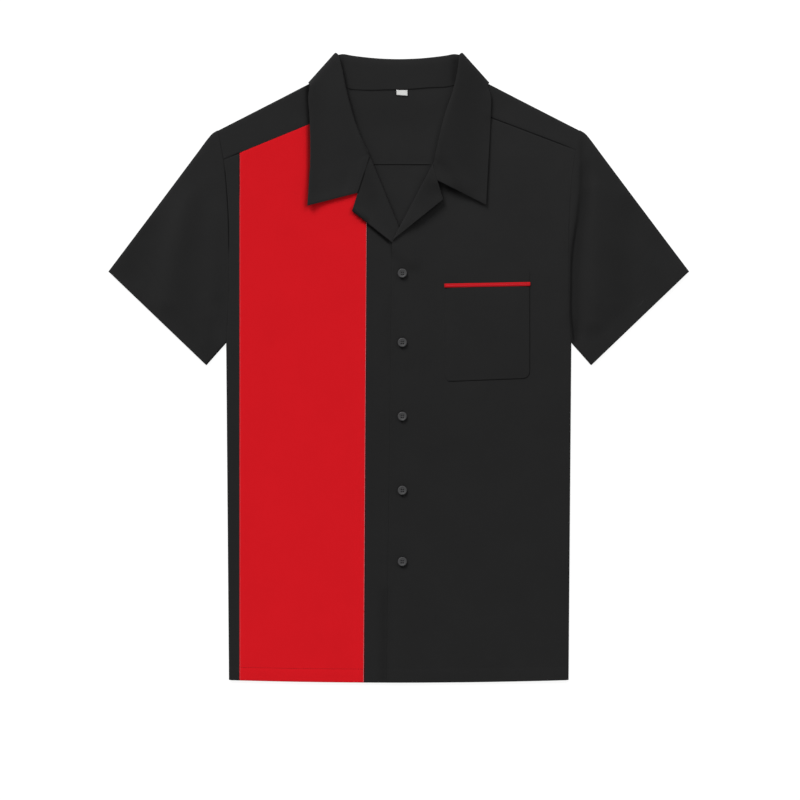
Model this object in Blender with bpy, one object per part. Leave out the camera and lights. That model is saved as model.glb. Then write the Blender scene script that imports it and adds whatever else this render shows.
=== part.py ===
"""Short-sleeved bowling shirt, laid flat with its front up.

Sizes are in millimetres and are written to the meshes in metres. The shirt
lies on z = 0, the collar points to +Y and the wearer's left side to +X. The
origin is under the middle of the outline.
"""
import math
from collections import namedtuple

import bmesh
import bpy
from mathutils import Vector

MM = 0.001

# Cloth and seams
CLOTH = 1.1             # wall of a single layer
COLLAR_CLOTH = 1.6      # two layers with interlining
GAP = 0.3               # between pieces, at seams and between layers
MARGIN = GAP / 2        # what each piece gives up at a seam
SEAM_ROOM = GAP * 1.2   # from the collar's wall to the edge that it is sewn to
CUT_TOLERANCE = 0.25    # a cut this near to a corner goes through it
SIDE_SEAM_GAP = 0.55    # half the gap along the side seam, where the walls stand up
CELL = 26.0             # mesh size on an open panel
EDGE_RADIUS = 2.4       # outer radius of the rounded side and shoulder edges
BEND = EDGE_RADIUS - CLOTH / 2          # the same at the middle of the wall
TOP_LEVEL = 2 * EDGE_RADIUS - CLOTH / 2  # middle of the upper layer's wall
LAPEL_SETTLE = CLOTH / 2 + GAP + COLLAR_CLOTH / 2   # from a front up to its lapel

# Body outline, half widths from the centre line
HEM_HALF = 220.7
HEM_Y = -405.9
HEM_SAG = 3.3
UNDERARM = Vector((224.3, 32.2))
NECK_POINT = Vector((89.4, 383.0))      # neck end of the shoulder edge
SHOULDER_SLOPE = math.radians(27.1)
SHOULDER_ALONG = Vector((math.cos(SHOULDER_SLOPE), -math.sin(SHOULDER_SLOPE)))
SHOULDER_OUT = Vector((math.sin(SHOULDER_SLOPE), math.cos(SHOULDER_SLOPE)))
SHOULDER_AXIS = NECK_POINT - SHOULDER_OUT * EDGE_RADIUS
SHOULDER_LENGTH = 200.0                 # more than the fold needs
SHOULDER_TIP_Y = 306.0                  # where the fold's axis meets the armhole

ArmholeRow = namedtuple("ArmholeRow", "y half")
ARMHOLE = [
    ArmholeRow(32.2, 224.3),
    ArmholeRow(101.0, 220.6),
    ArmholeRow(186.0, 221.0),
    ArmholeRow(215.0, 222.5),
    ArmholeRow(250.0, 225.2),
    ArmholeRow(272.0, 228.0),
    ArmholeRow(291.0, 231.8),
    ArmholeRow(309.4, 235.0),
]

# Sleeve: the crest is the folded upper edge, the under edge holds the seam
SleeveRow = namedtuple("SleeveRow", "crest_x crest_y under_x under_y armhole_share")
SLEEVE = [
    SleeveRow(234.9, 308.6, 224.6, 32.2, 1.0),
    SleeveRow(241.6, 304.4, 226.0, 30.3, 0.93),
    SleeveRow(247.0, 298.4, 228.0, 28.0, 0.84),
    SleeveRow(262.0, 278.5, 230.6, 25.1, 0.6),
    SleeveRow(286.0, 246.6, 234.6, 20.5, 0.3),
    SleeveRow(316.0, 206.7, 239.3, 15.2, 0.1),
    SleeveRow(347.0, 165.5, 244.5, 9.3, 0.0),
    SleeveRow(377.2, 125.4, 249.5, 3.6, 0.0),
]

# Back neck seam, half widths from the centre line
NeckRow = namedtuple("NeckRow", "half y")
BACK_NECK = [
    NeckRow(0.0, 361.2),
    NeckRow(38.0, 361.2),
    NeckRow(62.0, 362.6),
    NeckRow(76.0, 367.6),
    NeckRow(84.0, 374.6),
]
YOKE_BACK_Y = 264.9     # seam between yoke and back

# Collar, one table for each side. A row is a cut across the collar from its
# neck seam over the roll to its free edge.
CollarRow = namedtuple("CollarRow", "seam_x seam_y roll_x roll_y edge_x edge_y roll_radius lift")
RIGHT_COLLAR = [
    CollarRow(-86.4, 362.0, -74.3, 391.2, -117.6, 352.0, 1.9, 0.0),
    CollarRow(-84.2, 348.1, -68.1, 363.9, -116.2, 330.0, 2.2, 0.1),
    CollarRow(-76.4, 326.5, -59.5, 331.1, -115.0, 298.0, 2.2, 0.3),
    CollarRow(-63.5, 301.6, -51.0, 305.5, -115.2, 262.0, 1.9, 0.6),
]
LEFT_COLLAR = [
    CollarRow(86.4, 362.0, 77.4, 391.7, 119.6, 352.0, 1.9, 0.0),
    CollarRow(84.2, 348.1, 71.2, 363.9, 119.4, 330.0, 2.2, 0.2),
    CollarRow(76.4, 326.5, 60.2, 331.1, 118.0, 298.0, 2.4, 0.6),
    CollarRow(64.5, 298.0, 52.3, 300.5, 116.0, 262.0, 2.2, 1.3),
]
BackCollarRow = namedtuple("BackCollarRow", "half seam_y roll_half roll_y edge_half edge_y")
BACK_COLLAR = [
    BackCollarRow(0.0, 361.2, 0.0, 401.4, 0.0, 351.5),
    BackCollarRow(38.0, 361.2, 35.0, 403.0, 44.0, 353.0),
    BackCollarRow(62.0, 362.6, 60.0, 405.9, 82.0, 357.5),
    BackCollarRow(76.0, 367.6, 72.5, 408.0, 103.0, 362.5),
]
FALL_LEVEL = COLLAR_CLOTH / 2                       # middle of the hidden fall's wall
STAND_LEVEL = COLLAR_CLOTH * 1.5 + GAP              # and of the back stand's
BACK_ROLL = 1.3                                     # radius of the fold between them
CORNER_ROLL = 1.7                                   # the same in front of the shoulder
CORNER_BULGE = 3.0                                  # how far the corner rounds outwards
COLLAR_CORNER = Vector((81.0, 409.2))   # where the roll turns over the shoulder
COLLAR_SIDE = Vector((119.0, 369.6))    # where the free edge turns over it
COLLAR_REACH = 30.6                     # from the neck along the shoulder to there
COLLAR_SIDE_AXIS = SHOULDER_AXIS + SHOULDER_ALONG * COLLAR_REACH
FALL_BOW = 16.0         # how much higher the hidden fall's edge is at its ends
FALL_SHARES = (0.3, 0.6, 0.85, 1.0)     # points across the fall, after the roll
FIRST_ON_FALL = 7       # how many points come before them
GORGE_SHARES = (0.0, 0.05, 0.1, 0.15, 0.2, 0.25, 0.3, 0.5, 0.7, 0.87, 1.0)
GORGE_OFFSET = GAP * 2.5                # along the roll, from the lapel to the collar
GORGE_STEPS = 4                         # over half a turn of the roll
GORGE_EDGE_START = 0.2                  # share of the leaf's side edge at its start
GORGE_EDGE_STEP = 0.06                  # and for each step
GorgeRow = namedtuple("GorgeRow", "seam_share edge_share")
GORGE_FLAT = [GorgeRow(0.38, 0.57), GorgeRow(0.65, 0.76), GorgeRow(1.0, 1.0)]

# Lapels and front edges. The break is where the roll leaves the front edge.
Lapel = namedtuple("Lapel", "roll_top break_point notch corner collar_point roll_radius lift")
RIGHT_LAPEL = Lapel(Vector((-40.4, 277.4)), Vector((17.2, 138.8)), Vector((-53.2, 227.2)),
                    Vector((-60.8, 203.5)), Vector((-118.6, 210.3)), 1.5, 0.3)
LEFT_LAPEL = Lapel(Vector((47.4, 266.4)), Vector((-8.8, 160.9)), Vector((50.0, 243.3)),
                   Vector((57.5, 218.5)), Vector((113.4, 211.6)), 1.7, 2.6)
LAPEL_END_ROLL = 1.1    # radius of the roll at the break
HIDDEN_LAPEL = [RIGHT_LAPEL.break_point, Vector((4.0, 182.0)), Vector((-12.0, 163.0))]
RIGHT_EDGE_HEM_X = 22.0
LEFT_EDGE_HEM_X = -15.9

# Panel seams of the wearer's right front
STRIP_SEAM_X = -207.0
PANEL_SEAM_TOP = Vector((-40.9, 277.7))
PANEL_SEAM_HEM_X = -45.0

# Front yoke seams, from the armhole to the neck
RIGHT_YOKE_SEAM = (Vector((-227.8, 270.6)), Vector((-78.6, 331.8)))
LEFT_YOKE_SEAM = (Vector((229.8, 283.0)), Vector((81.4, 339.6)))

# Pocket, piping, tab and buttons
POCKET_LEFT = 59.3
POCKET_RIGHT = 170.4
POCKET_TOP_LEFT = 103.9
POCKET_TOP_RIGHT = 106.0
POCKET_BOTTOM_LEFT = -18.0
POCKET_BOTTOM_RIGHT = -14.2
POCKET_SLANT = Vector((5.0, 6.5))   # cut off the corner nearer to the buttons
POCKET_ROUND = 9.0                  # radius of the other one
PIPING_HEIGHT = 5.2
PIPING_CLOTH = 1.5
PIPING_OVERHANG = 0.5
TAB_WIDTH = 16.0
TAB_LEFT = -4.0
TAB_TOP = 360.3
TAB_BOTTOM = 351.6
BUTTON_X = 4.6
BUTTON_Y = (122.7, 32.8, -63.1, -159.3, -251.8)
BUTTON_RADIUS = 5.9
BUTTON_HEIGHT = 2.4
BUTTON_HOLE_RADIUS = 0.75
BUTTON_HOLE_SPREAD = 1.35
BUTTON_TURNS = 16
BUTTON_CLEAR = 6.4      # the cloth is measured this far to each side of a button
ButtonRow = namedtuple("ButtonRow", "radius_share height_share")
BUTTON_PROFILE = [
    ButtonRow(0.0, 0.0),
    ButtonRow(0.8, 0.0),
    ButtonRow(1.0, 0.45),
    ButtonRow(0.93, 1.0),
    ButtonRow(0.74, 1.0),
    ButtonRow(0.62, 0.68),
    ButtonRow(0.0, 0.68),
]

# Largest soft folds of the upper layers
FoldRow = namedtuple("FoldRow", "x1 y1 x2 y2 half_width height")
FOLDS = [
    FoldRow(246.0, 232.0, 243.0, 60.0, 11.0, 3.0),
    FoldRow(256.0, 262.0, 300.0, 120.0, 26.0, 0.9),
    FoldRow(-250.0, 250.0, -312.0, 130.0, 24.0, 1.1),
    FoldRow(-238.0, 200.0, -243.0, 70.0, 12.0, 1.0),
    FoldRow(-300.0, 215.0, -345.0, 150.0, 18.0, 0.6),
    FoldRow(120.0, -60.0, 205.0, -250.0, 40.0, 0.7),
    FoldRow(-150.0, -120.0, -95.0, -330.0, 45.0, 0.6),
]
COLLAR_EASE = 46.0      # over which the layers come down from the hidden fall
LAPEL_EASE = 17.0       # and the left front from the right lapel
BUMP_REACH = 30.0       # how far round it the left front's mesh is finer
BUMP_STEPS = 6
OVERLAP_FLAT = 5.0      # how far past the right front's edge the left one stays up
OVERLAP_EASE = 27.0     # over which it then comes down
SLEEVE_TROUGH = 1.9     # how far the left sleeve falls beside the armhole
TROUGH_WIDTH = 9.0
TroughEnd = namedtuple("TroughEnd", "y ease")
TROUGH_TOP = TroughEnd(250.0, 60.0)
TROUGH_BOTTOM = TroughEnd(34.0, 30.0)


def ease(value):
    """Smooth step from 0 to 1."""
    value = max(0.0, min(1.0, value))
    return value * value * (3.0 - 2.0 * value)


def side(vector, sign):
    return Vector((vector.x * sign, vector.y))


def lerp_table(rows, y):
    """Half width of the armhole at a height y."""
    for low, high in zip(rows, rows[1:]):
        if y <= high.y:
            break
    share = (y - low.y) / (high.y - low.y)
    return low.half + share * (high.half - low.half)


def distance_to_segment(point, start, end):
    along = end - start
    share = max(0.0, min(1.0, (point - start).dot(along) / along.length_squared))
    return (point - start - along * share).length


def distance_outside(point, corners):
    """Distance to a convex shape whose corners run anticlockwise, 0 inside."""
    sides = list(zip(corners, corners[1:] + corners[:1]))
    if all((end - start).cross(point - start) >= 0.0 for start, end in sides):
        return 0.0
    return min(distance_to_segment(point, start, end) for start, end in sides)


# Heights of the layers


def collar_under(point):
    """How far the collar's hidden back fall lifts the layers above it."""
    lowest_edge = BACK_COLLAR[0].edge_y + FALL_BOW * (point.x / COLLAR_SIDE.x) ** 2
    below = max(0.0, lowest_edge - point.y)
    beside = max(0.0, abs(point.x) - COLLAR_SIDE.x)
    return (COLLAR_CLOTH + 2 * GAP) * (1.0 - ease(math.hypot(below, beside) / COLLAR_EASE))


def fold_height(point):
    height = 0.0
    for row in FOLDS:
        start, end = Vector((row.x1, row.y1)), Vector((row.x2, row.y2))
        away = distance_to_segment(point, start, end) / row.half_width
        height += row.height * math.exp(-away * away)
    return height


def edge_share(point):
    """0 on the outline of the side seam, 1 where the layer lies at its level."""
    here = Vector((abs(point.x), point.y))
    away = distance_to_segment(here, UNDERARM, Vector((HEM_HALF, HEM_Y))) - CLOTH / 2
    turn = 1.0 - max(0.0, min(1.0, away / BEND))
    return math.sqrt(1.0 - turn * turn)


def back_level(point):
    return CLOTH / 2 + collar_under(point)


def lower_layer(point):
    """Middle of the back's wall."""
    level = back_level(point)
    seam = EDGE_RADIUS - SIDE_SEAM_GAP
    return seam + (level - seam) * edge_share(point)


def upper_layer(point):
    """Middle of the wall of a front that lies right on the back."""
    level = TOP_LEVEL + collar_under(point) + fold_height(point)
    seam = EDGE_RADIUS + SIDE_SEAM_GAP
    return seam + (level - seam) * edge_share(point)


def overlap_lift(point):
    """How far the right front and its lapel lift the left front."""
    step = CLOTH + GAP
    flat_end = RIGHT_LAPEL.break_point.x + OVERLAP_FLAT
    over_front = 1.0 - ease((point.x - flat_end) / OVERLAP_EASE)
    over_lapel = 1.0 - ease(distance_outside(point, HIDDEN_LAPEL) / LAPEL_EASE)
    return step * over_front + (2 * LAPEL_END_ROLL + GAP) * over_lapel


def left_front_layer(point):
    """Middle of the wall of the front that lies on top."""
    return upper_layer(point) + overlap_lift(point)


# Folding a flat pattern


ROLL_START_SLACK = 0.02     # in lengths of the axis


class Roll:
    """A straight fold: what lies beyond the axis turns over and comes back."""

    def __init__(self, start, end, out, radius, level, settle, lift=0.0, settle_length=24.0):
        self.start = start
        self.along = (end - start).normalized()
        self.length = (end - start).length
        self.out = out.normalized()
        self.radius = radius
        self.level = level
        self.settle = settle
        self.lift = lift
        self.settle_length = settle_length

    def local_radius(self, share):
        low, high = self.radius
        return low + (high - low) * max(0.0, min(1.0, share))

    def split(self, point):
        """Place along the axis, from 0 to 1, and distance beyond it."""
        away = point - self.start
        return away.dot(self.along) / self.length, away.dot(self.out)

    def unfold(self, point):
        """Pattern place of a point that is seen on the turned-over part."""
        share, beyond = self.split(point)
        turn = math.pi * self.local_radius(share)
        return point + self.out * (turn - 2.0 * beyond)

    def place(self, point):
        """Where a pattern point comes to lie, and its height.

        What lies before the axis's start stays flat.
        """
        share, beyond = self.split(point)
        if beyond <= 0.0 or share < -ROLL_START_SLACK:
            return Vector((point.x, point.y, self.level(point)))
        radius = self.local_radius(share)
        foot = point - self.out * beyond
        if beyond < math.pi * radius:
            spot = foot + self.out * radius * math.sin(beyond / radius)
            rise = radius * (1.0 - math.cos(beyond / radius))
        else:
            back = beyond - math.pi * radius
            spot = foot - self.out * back
            near = ease(back / self.settle_length)
            rise = 2.0 * radius + (self.settle + self.lift - 2.0 * radius) * near
        return Vector((spot.x, spot.y, self.level(spot) + rise))

    def is_open(self, point):
        """Whether a pattern point lies clear of the bend itself."""
        share, beyond = self.split(point)
        return beyond < 0.0 or beyond > math.pi * self.local_radius(share)

    def cuts(self, wanted=None):
        """Lines along which the pattern is cut so that it can bend."""
        lines = []
        for part in range(5):
            first, last = (self.out * math.pi * radius * part / 4 for radius in self.radius)
            run = self.along * self.length + last - first
            lines.append((self.start + first, Vector((-run.y, run.x)).normalized(), wanted))
        return lines


def shoulder_roll(sign):
    start = side(SHOULDER_AXIS, sign)
    end = side(SHOULDER_AXIS + SHOULDER_ALONG * SHOULDER_LENGTH, sign)
    return Roll(start, end, side(SHOULDER_OUT, sign), (BEND, BEND), back_level, TOP_LEVEL - CLOTH / 2)


def lapel_roll(lapel, out_sign, level):
    along = (lapel.break_point - lapel.roll_top).normalized()
    out = Vector((-along.y, along.x)) * out_sign
    return Roll(lapel.roll_top, lapel.break_point, out, (lapel.roll_radius, LAPEL_END_ROLL), level,
                LAPEL_SETTLE, lapel.lift)


# Making meshes


def shrink(outline, margin):
    """Moves each side of a closed outline inwards."""
    count = len(outline)
    turning = sum(outline[i].cross(outline[(i + 1) % count]) for i in range(count))
    inward = 1.0 if turning > 0.0 else -1.0
    moved = []
    for i, corner in enumerate(outline):
        before = (corner - outline[i - 1]).normalized()
        after = (outline[(i + 1) % count] - corner).normalized()
        normal_before = Vector((-before.y, before.x)) * inward
        normal_after = Vector((-after.y, after.x)) * inward
        bisector = normal_before + normal_after
        moved.append(corner + bisector * (margin * 2.0 / bisector.length_squared))
    return moved


def cut_through(bm, point, normal, wanted=None):
    faces = [face for face in bm.faces if wanted is None or wanted(face.calc_center_median().to_2d())]
    edges = {edge for face in faces for edge in face.edges}
    verts = {vert for face in faces for vert in face.verts}
    bmesh.ops.bisect_plane(bm, geom=list(verts) + list(edges) + faces, dist=CUT_TOLERANCE,
                           plane_co=point.to_3d(), plane_no=normal.to_3d())


def cut_cloth(outline, cell, lines=(), is_open=None, fine_lines=()):
    """A flat piece of cloth, cut along the given lines and then into cells.

    Cells are cut only where is_open says so, which leaves out narrow bends.
    The fine lines come last, and cut only the cells that they want.
    """
    bm = bmesh.new()
    bm.faces.new([bm.verts.new(corner.to_3d()) for corner in outline])
    for point, normal, wanted in lines:
        cut_through(bm, point, normal, wanted)
    for axis in (0, 1):
        low = min(corner[axis] for corner in outline)
        high = max(corner[axis] for corner in outline)
        count = max(1, round((high - low) / cell))
        normal = Vector((1.0, 0.0)) if axis == 0 else Vector((0.0, 1.0))
        for step in range(1, count):
            cut_through(bm, normal * (low + (high - low) * step / count), normal, is_open)
    for point, normal, wanted in fine_lines:
        cut_through(bm, point, normal, wanted)
    bmesh.ops.triangulate(bm, faces=bm.faces[:], quad_method="BEAUTY", ngon_method="BEAUTY")
    bm.normal_update()
    if sum(face.normal.z for face in bm.faces) < 0.0:
        bmesh.ops.reverse_faces(bm, faces=bm.faces[:])
    return bm


def material(name, color, roughness):
    found = bpy.data.materials.get(name)
    if found:
        return found
    made = bpy.data.materials.new(name)
    made.use_nodes = True
    shader = made.node_tree.nodes["Principled BSDF"]
    shader.inputs["Base Color"].default_value = (*color, 1.0)
    shader.inputs["Roughness"].default_value = roughness
    shader.inputs["Metallic"].default_value = 0.0
    return made


BLACK = ("black_cloth", (0.018, 0.018, 0.019), 0.85)
RED = ("red_cloth", (0.596, 0.009, 0.014), 0.8)
PALE = ("pale_tape", (0.7, 0.7, 0.69), 0.8)
GREY = ("grey_button", (0.06, 0.06, 0.065), 0.4)


def finish(bm, name, finish_values):
    """Writes a bmesh in millimetres as an object in metres."""
    bmesh.ops.scale(bm, vec=Vector((MM, MM, MM)), verts=bm.verts[:])
    mesh = bpy.data.meshes.new(name)
    bm.to_mesh(mesh)
    bm.free()
    mesh.materials.append(material(*finish_values))
    obj = bpy.data.objects.new(name, mesh)
    bpy.context.scene.collection.objects.link(obj)
    return obj


def give_wall(obj, thickness):
    wall = obj.modifiers.new("wall", "SOLIDIFY")
    wall.thickness = thickness * MM
    wall.offset = 0.0
    return obj


def cloth_piece(name, outline, finish_values, place, lines=(), cell=CELL, thickness=CLOTH, margin=MARGIN,
                is_open=None, fine_lines=()):
    """Cuts, folds and thickens one flat pattern piece."""
    bm = cut_cloth(shrink(outline, margin), cell, lines, is_open, fine_lines)
    for vert in bm.verts:
        vert.co = place(vert.co.to_2d())
    return give_wall(finish(bm, name, finish_values), thickness)


def lay(level):
    return lambda point: Vector((point.x, point.y, level(point)))


# Outlines


def hem_point(x):
    return Vector((x, HEM_Y - HEM_SAG * (1.0 - (x / HEM_HALF) ** 2)))


def hem_line(x_from, x_to, steps):
    return [hem_point(x_from + (x_to - x_from) * i / steps) for i in range(steps + 1)]


def armhole_line(y_from, y_to, sign):
    """Points up the armhole seam between two heights."""
    heights = [y_from] + [row.y for row in ARMHOLE if y_from + 1.0 < row.y < y_to - 1.0] + [y_to]
    return [Vector((lerp_table(ARMHOLE, y) * sign, y)) for y in heights]


def side_cuts(sign):
    """Lines beside the side seam, where the layers round off."""
    along = (UNDERARM - Vector((HEM_HALF, HEM_Y))).normalized()
    inward = Vector((-along.y, along.x))
    lines = []
    for turn in (math.radians(40.0), math.radians(90.0)):
        distance = CLOTH / 2 + BEND * (1.0 - math.cos(turn))
        point = side(UNDERARM + inward * distance, sign)
        lines.append((point, side(inward, sign), None))
    return lines


def neck_front(sign):
    """Neck seam from the shoulder down to the lapel."""
    rows = RIGHT_COLLAR if sign < 0 else LEFT_COLLAR
    return [Vector((row.seam_x, row.seam_y)) for row in rows]


def inset_side(point):
    """A side seam's outline starts half a wall inside, as the wall is centred."""
    return point - Vector((math.copysign(CLOTH / 2 - MARGIN, point.x), 0.0))


# a cut just above the underarm, where the armhole starts to lie level
UNDERARM_CUT = (UNDERARM + Vector((0.0, 2 * EDGE_RADIUS)), Vector((0.0, 1.0)), None)


# Pieces


def make_back():
    outline = hem_line(-HEM_HALF, HEM_HALF, 6)
    outline[0] = inset_side(outline[0])
    outline[-1] = inset_side(outline[-1])
    outline.append(inset_side(UNDERARM))
    outline += armhole_line(UNDERARM.y, YOKE_BACK_Y, 1)[1:]
    outline += reversed(armhole_line(UNDERARM.y, YOKE_BACK_Y, -1)[1:])
    outline.append(inset_side(side(UNDERARM, -1)))
    cuts = side_cuts(1) + side_cuts(-1) + [UNDERARM_CUT]
    cloth_piece("back_body", outline, BLACK, lay(lower_layer), cuts, 60.0)


def make_yoke():
    rolls = {sign: shoulder_roll(sign) for sign in (1, -1)}

    def half(sign):
        """Half of the pattern, from the back seam over the shoulder to the neck."""
        roll = rolls[sign]
        seam = RIGHT_YOKE_SEAM if sign < 0 else LEFT_YOKE_SEAM
        arm = armhole_line(YOKE_BACK_Y, SHOULDER_TIP_Y, sign)
        front_arm = armhole_line(seam[0].y, SHOULDER_TIP_Y, sign)
        axis_neck = side(SHOULDER_AXIS, sign)
        front_neck = [point for point in neck_front(sign) if point.y > seam[1].y + 1.0]
        points = arm + [roll.unfold(point) for point in reversed(front_arm)]
        points += [roll.unfold(point) for point in [seam[1]] + list(reversed(front_neck)) + [axis_neck]]
        points.append(axis_neck)
        points += [Vector((row.half * sign, row.y)) for row in reversed(BACK_NECK[1:])]
        return points

    outline = half(1) + [Vector((0.0, BACK_NECK[0].y))] + list(reversed(half(-1)))
    lines = []
    for sign, roll in rolls.items():
        def on_this_side(center, sign=sign):
            return center.x * sign > 0.0
        lines += roll.cuts(on_this_side)

    def place(point):
        sign = 1 if point.x > 0.0 else -1
        roll = rolls[sign]
        spot = roll.place(point)
        if roll.split(point)[1] > math.pi * BEND:
            spot.z = upper_layer(spot.to_2d())
        return spot

    center_cut = [(Vector((0.0, 0.0)), Vector((1.0, 0.0)), None)]
    cloth_piece("yoke", outline, BLACK, place, center_cut + lines, 30.0)


def make_right_front():
    seam_top, seam_hem = PANEL_SEAM_TOP, hem_point(PANEL_SEAM_HEM_X)
    yoke_arm, yoke_neck = RIGHT_YOKE_SEAM

    def yoke_seam(x):
        share = (x - yoke_arm.x) / (yoke_neck.x - yoke_arm.x)
        return yoke_arm.lerp(yoke_neck, share)

    strip = [inset_side(hem_point(-HEM_HALF)), hem_point(STRIP_SEAM_X), yoke_seam(STRIP_SEAM_X)]
    strip += reversed(armhole_line(UNDERARM.y, yoke_arm.y, -1)[1:])
    strip.append(inset_side(side(UNDERARM, -1)))
    cloth_piece("side_strip", strip, BLACK, lay(upper_layer), side_cuts(-1) + [UNDERARM_CUT])

    panel = hem_line(STRIP_SEAM_X, PANEL_SEAM_HEM_X, 3) + [seam_top]
    panel += [point for point in reversed(neck_front(-1)) if point.y < yoke_neck.y - 1.0]
    panel += [yoke_neck, yoke_seam(STRIP_SEAM_X)]
    cloth_piece("red_panel", panel, RED, lay(upper_layer))

    roll = lapel_roll(RIGHT_LAPEL, 1, upper_layer)
    placket = [seam_hem, hem_point(RIGHT_EDGE_HEM_X), RIGHT_LAPEL.break_point]
    placket += [roll.unfold(RIGHT_LAPEL.corner), roll.unfold(RIGHT_LAPEL.notch)]
    placket += [RIGHT_LAPEL.roll_top, seam_top]
    cloth_piece("placket_right", placket, BLACK, roll.place, roll.cuts(), 22.0, is_open=roll.is_open)
    return roll


def make_left_front():
    yoke_arm, yoke_neck = LEFT_YOKE_SEAM
    roll = lapel_roll(LEFT_LAPEL, -1, left_front_layer)
    outline = hem_line(LEFT_EDGE_HEM_X, HEM_HALF, 4)
    outline[-1] = inset_side(outline[-1])
    outline.append(inset_side(UNDERARM))
    outline += armhole_line(UNDERARM.y, yoke_arm.y, 1)[1:]
    outline.append(yoke_neck)
    outline += [point for point in neck_front(1) if point.y < yoke_neck.y - 1.0]
    outline += [LEFT_LAPEL.roll_top, roll.unfold(LEFT_LAPEL.notch), roll.unfold(LEFT_LAPEL.corner)]
    outline.append(LEFT_LAPEL.break_point)
    slope_start = RIGHT_LAPEL.break_point.x + OVERLAP_FLAT
    slope = [slope_start + OVERLAP_EASE * share for share in (0.0, 0.5, 1.0)]
    overlap_cuts = [(Vector((x, 0.0)), Vector((1.0, 0.0)), roll.is_open) for x in slope]
    cuts = side_cuts(1) + [UNDERARM_CUT] + roll.cuts() + overlap_cuts

    low = HIDDEN_LAPEL[0].y - LAPEL_EASE
    rise = (HIDDEN_LAPEL[1].y + LAPEL_EASE - low) / BUMP_STEPS

    def near_bump(center):
        return not roll.is_open(center) or distance_outside(center, HIDDEN_LAPEL) < BUMP_REACH

    heights = [low + rise * step for step in range(BUMP_STEPS + 1)]
    fine = [(Vector((0.0, y)), Vector((0.0, 1.0)), near_bump) for y in heights]
    cloth_piece("front_left", outline, BLACK, roll.place, cuts, is_open=roll.is_open, fine_lines=fine)
    return roll


def sleeve_trough(point, sign):
    """The left sleeve falls away beside the armhole seam."""
    if sign < 0:
        return 0.0
    beside = abs(point.x) - lerp_table(ARMHOLE, min(point.y, ARMHOLE[-1].y))
    from_top = ease((TROUGH_TOP.y - point.y) / TROUGH_TOP.ease)
    along = from_top * ease((point.y - TROUGH_BOTTOM.y) / TROUGH_BOTTOM.ease)
    return SLEEVE_TROUGH * along * math.exp(-(beside / TROUGH_WIDTH) ** 2)


SLEEVE_START = Vector((SLEEVE[0].crest_x, SLEEVE[0].crest_y)) - SHOULDER_OUT * EDGE_RADIUS
SLEEVE_UNDER_START = UNDERARM + Vector((0.0, EDGE_RADIUS))


def sleeve_ring(index, sign):
    """Points round the flattened tube at one row of the sleeve table."""
    row = SLEEVE[index]
    before, after = SLEEVE[max(index - 1, 0)], SLEEVE[min(index + 1, len(SLEEVE) - 1)]
    crest, under = Vector((row.crest_x, row.crest_y)), Vector((row.under_x, row.under_y))
    if index == 0:
        crest_out = SHOULDER_OUT
    else:
        run = Vector((after.crest_x - before.crest_x, after.crest_y - before.crest_y)).normalized()
        crest_out = Vector((-run.y, run.x))
    run = Vector((after.under_x - before.under_x, after.under_y - before.under_y)).normalized()
    under_out = Vector((run.y, -run.x)) if index > 0 else Vector((0.0, -1.0))
    crest_axis = crest - crest_out * EDGE_RADIUS
    under_axis = under - under_out * EDGE_RADIUS

    def across(share):
        """A point between the two edges, with the armhole's curve fading out."""
        spot = crest_axis.lerp(under_axis, share)
        first = SLEEVE_START.lerp(SLEEVE_UNDER_START, share)
        bulge = (lerp_table(ARMHOLE, first.y) - first.x) * row.armhole_share
        return Vector((spot.x + bulge + MARGIN, spot.y))

    ring = []
    turns = [math.radians(angle) for angle in (-90.0, -45.0, 0.0, 45.0, 90.0)]
    for turn in turns:
        spot = across(0.0) + crest_out * BEND * math.cos(turn)
        ring.append((spot, EDGE_RADIUS + BEND * math.sin(turn)))
    for step in range(1, 10):
        spot = across(step / 10.0)
        mirrored = side(spot, sign)
        ring.append((spot, TOP_LEVEL + fold_height(mirrored) - sleeve_trough(spot, sign)))
    for turn in reversed(turns):
        spot = across(1.0) + under_out * BEND * math.cos(turn)
        ring.append((spot, EDGE_RADIUS + BEND * math.sin(turn)))
    for step in range(5, 0, -1):
        ring.append((across(step / 6.0), CLOTH / 2))
    return [Vector((spot.x * sign, spot.y, height)) for spot, height in ring]


def make_sleeve(name, sign):
    bm = bmesh.new()
    rings = [[bm.verts.new(point) for point in sleeve_ring(index, sign)] for index in range(len(SLEEVE))]
    join_rows(bm, rings, closed=True)
    give_wall(finish(bm, name, BLACK), CLOTH)


def join_rows(bm, rows, closed):
    """Faces between rows of points, all turned the same way."""
    for row, following in zip(rows, rows[1:]):
        count = len(row)
        for i in range(count if closed else count - 1):
            j = (i + 1) % count
            bm.faces.new((row[i], row[j], following[j], following[i]))
    bmesh.ops.recalc_face_normals(bm, faces=bm.faces[:])


def collar_section(seam, center, inward, up, radius, edge):
    """Points across the collar: stand, half a circle at the roll, fall.

    inward points from the roll to the rest of the collar, and up from the
    fall's side to the stand's.
    """
    turns = [math.pi * step / 4 for step in range(5)]
    bend = [center + up * radius * math.cos(turn) - inward * radius * math.sin(turn) for turn in turns]
    start = [seam, seam.lerp(bend[0], 0.5)] + bend
    return start + [start[-1].lerp(edge, share) for share in FALL_SHARES]


def back_collar_section(row, sign):
    """The stand lies on the hidden fall, joined along the top edge."""
    stand = Vector((0.0, 0.0, STAND_LEVEL))
    inward, up = Vector((0.0, -1.0, 0.0)), Vector((0.0, 0.0, 1.0))
    seam = Vector((row.half * sign, row.seam_y + MARGIN)).to_3d() + stand
    tip_y = row.roll_y - COLLAR_CLOTH / 2
    center = Vector((row.roll_half * sign, tip_y - BACK_ROLL, FALL_LEVEL + BACK_ROLL))
    edge = Vector((row.edge_half * sign, row.edge_y, FALL_LEVEL))
    return collar_section(seam, center, inward, up, BACK_ROLL, edge)


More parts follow.
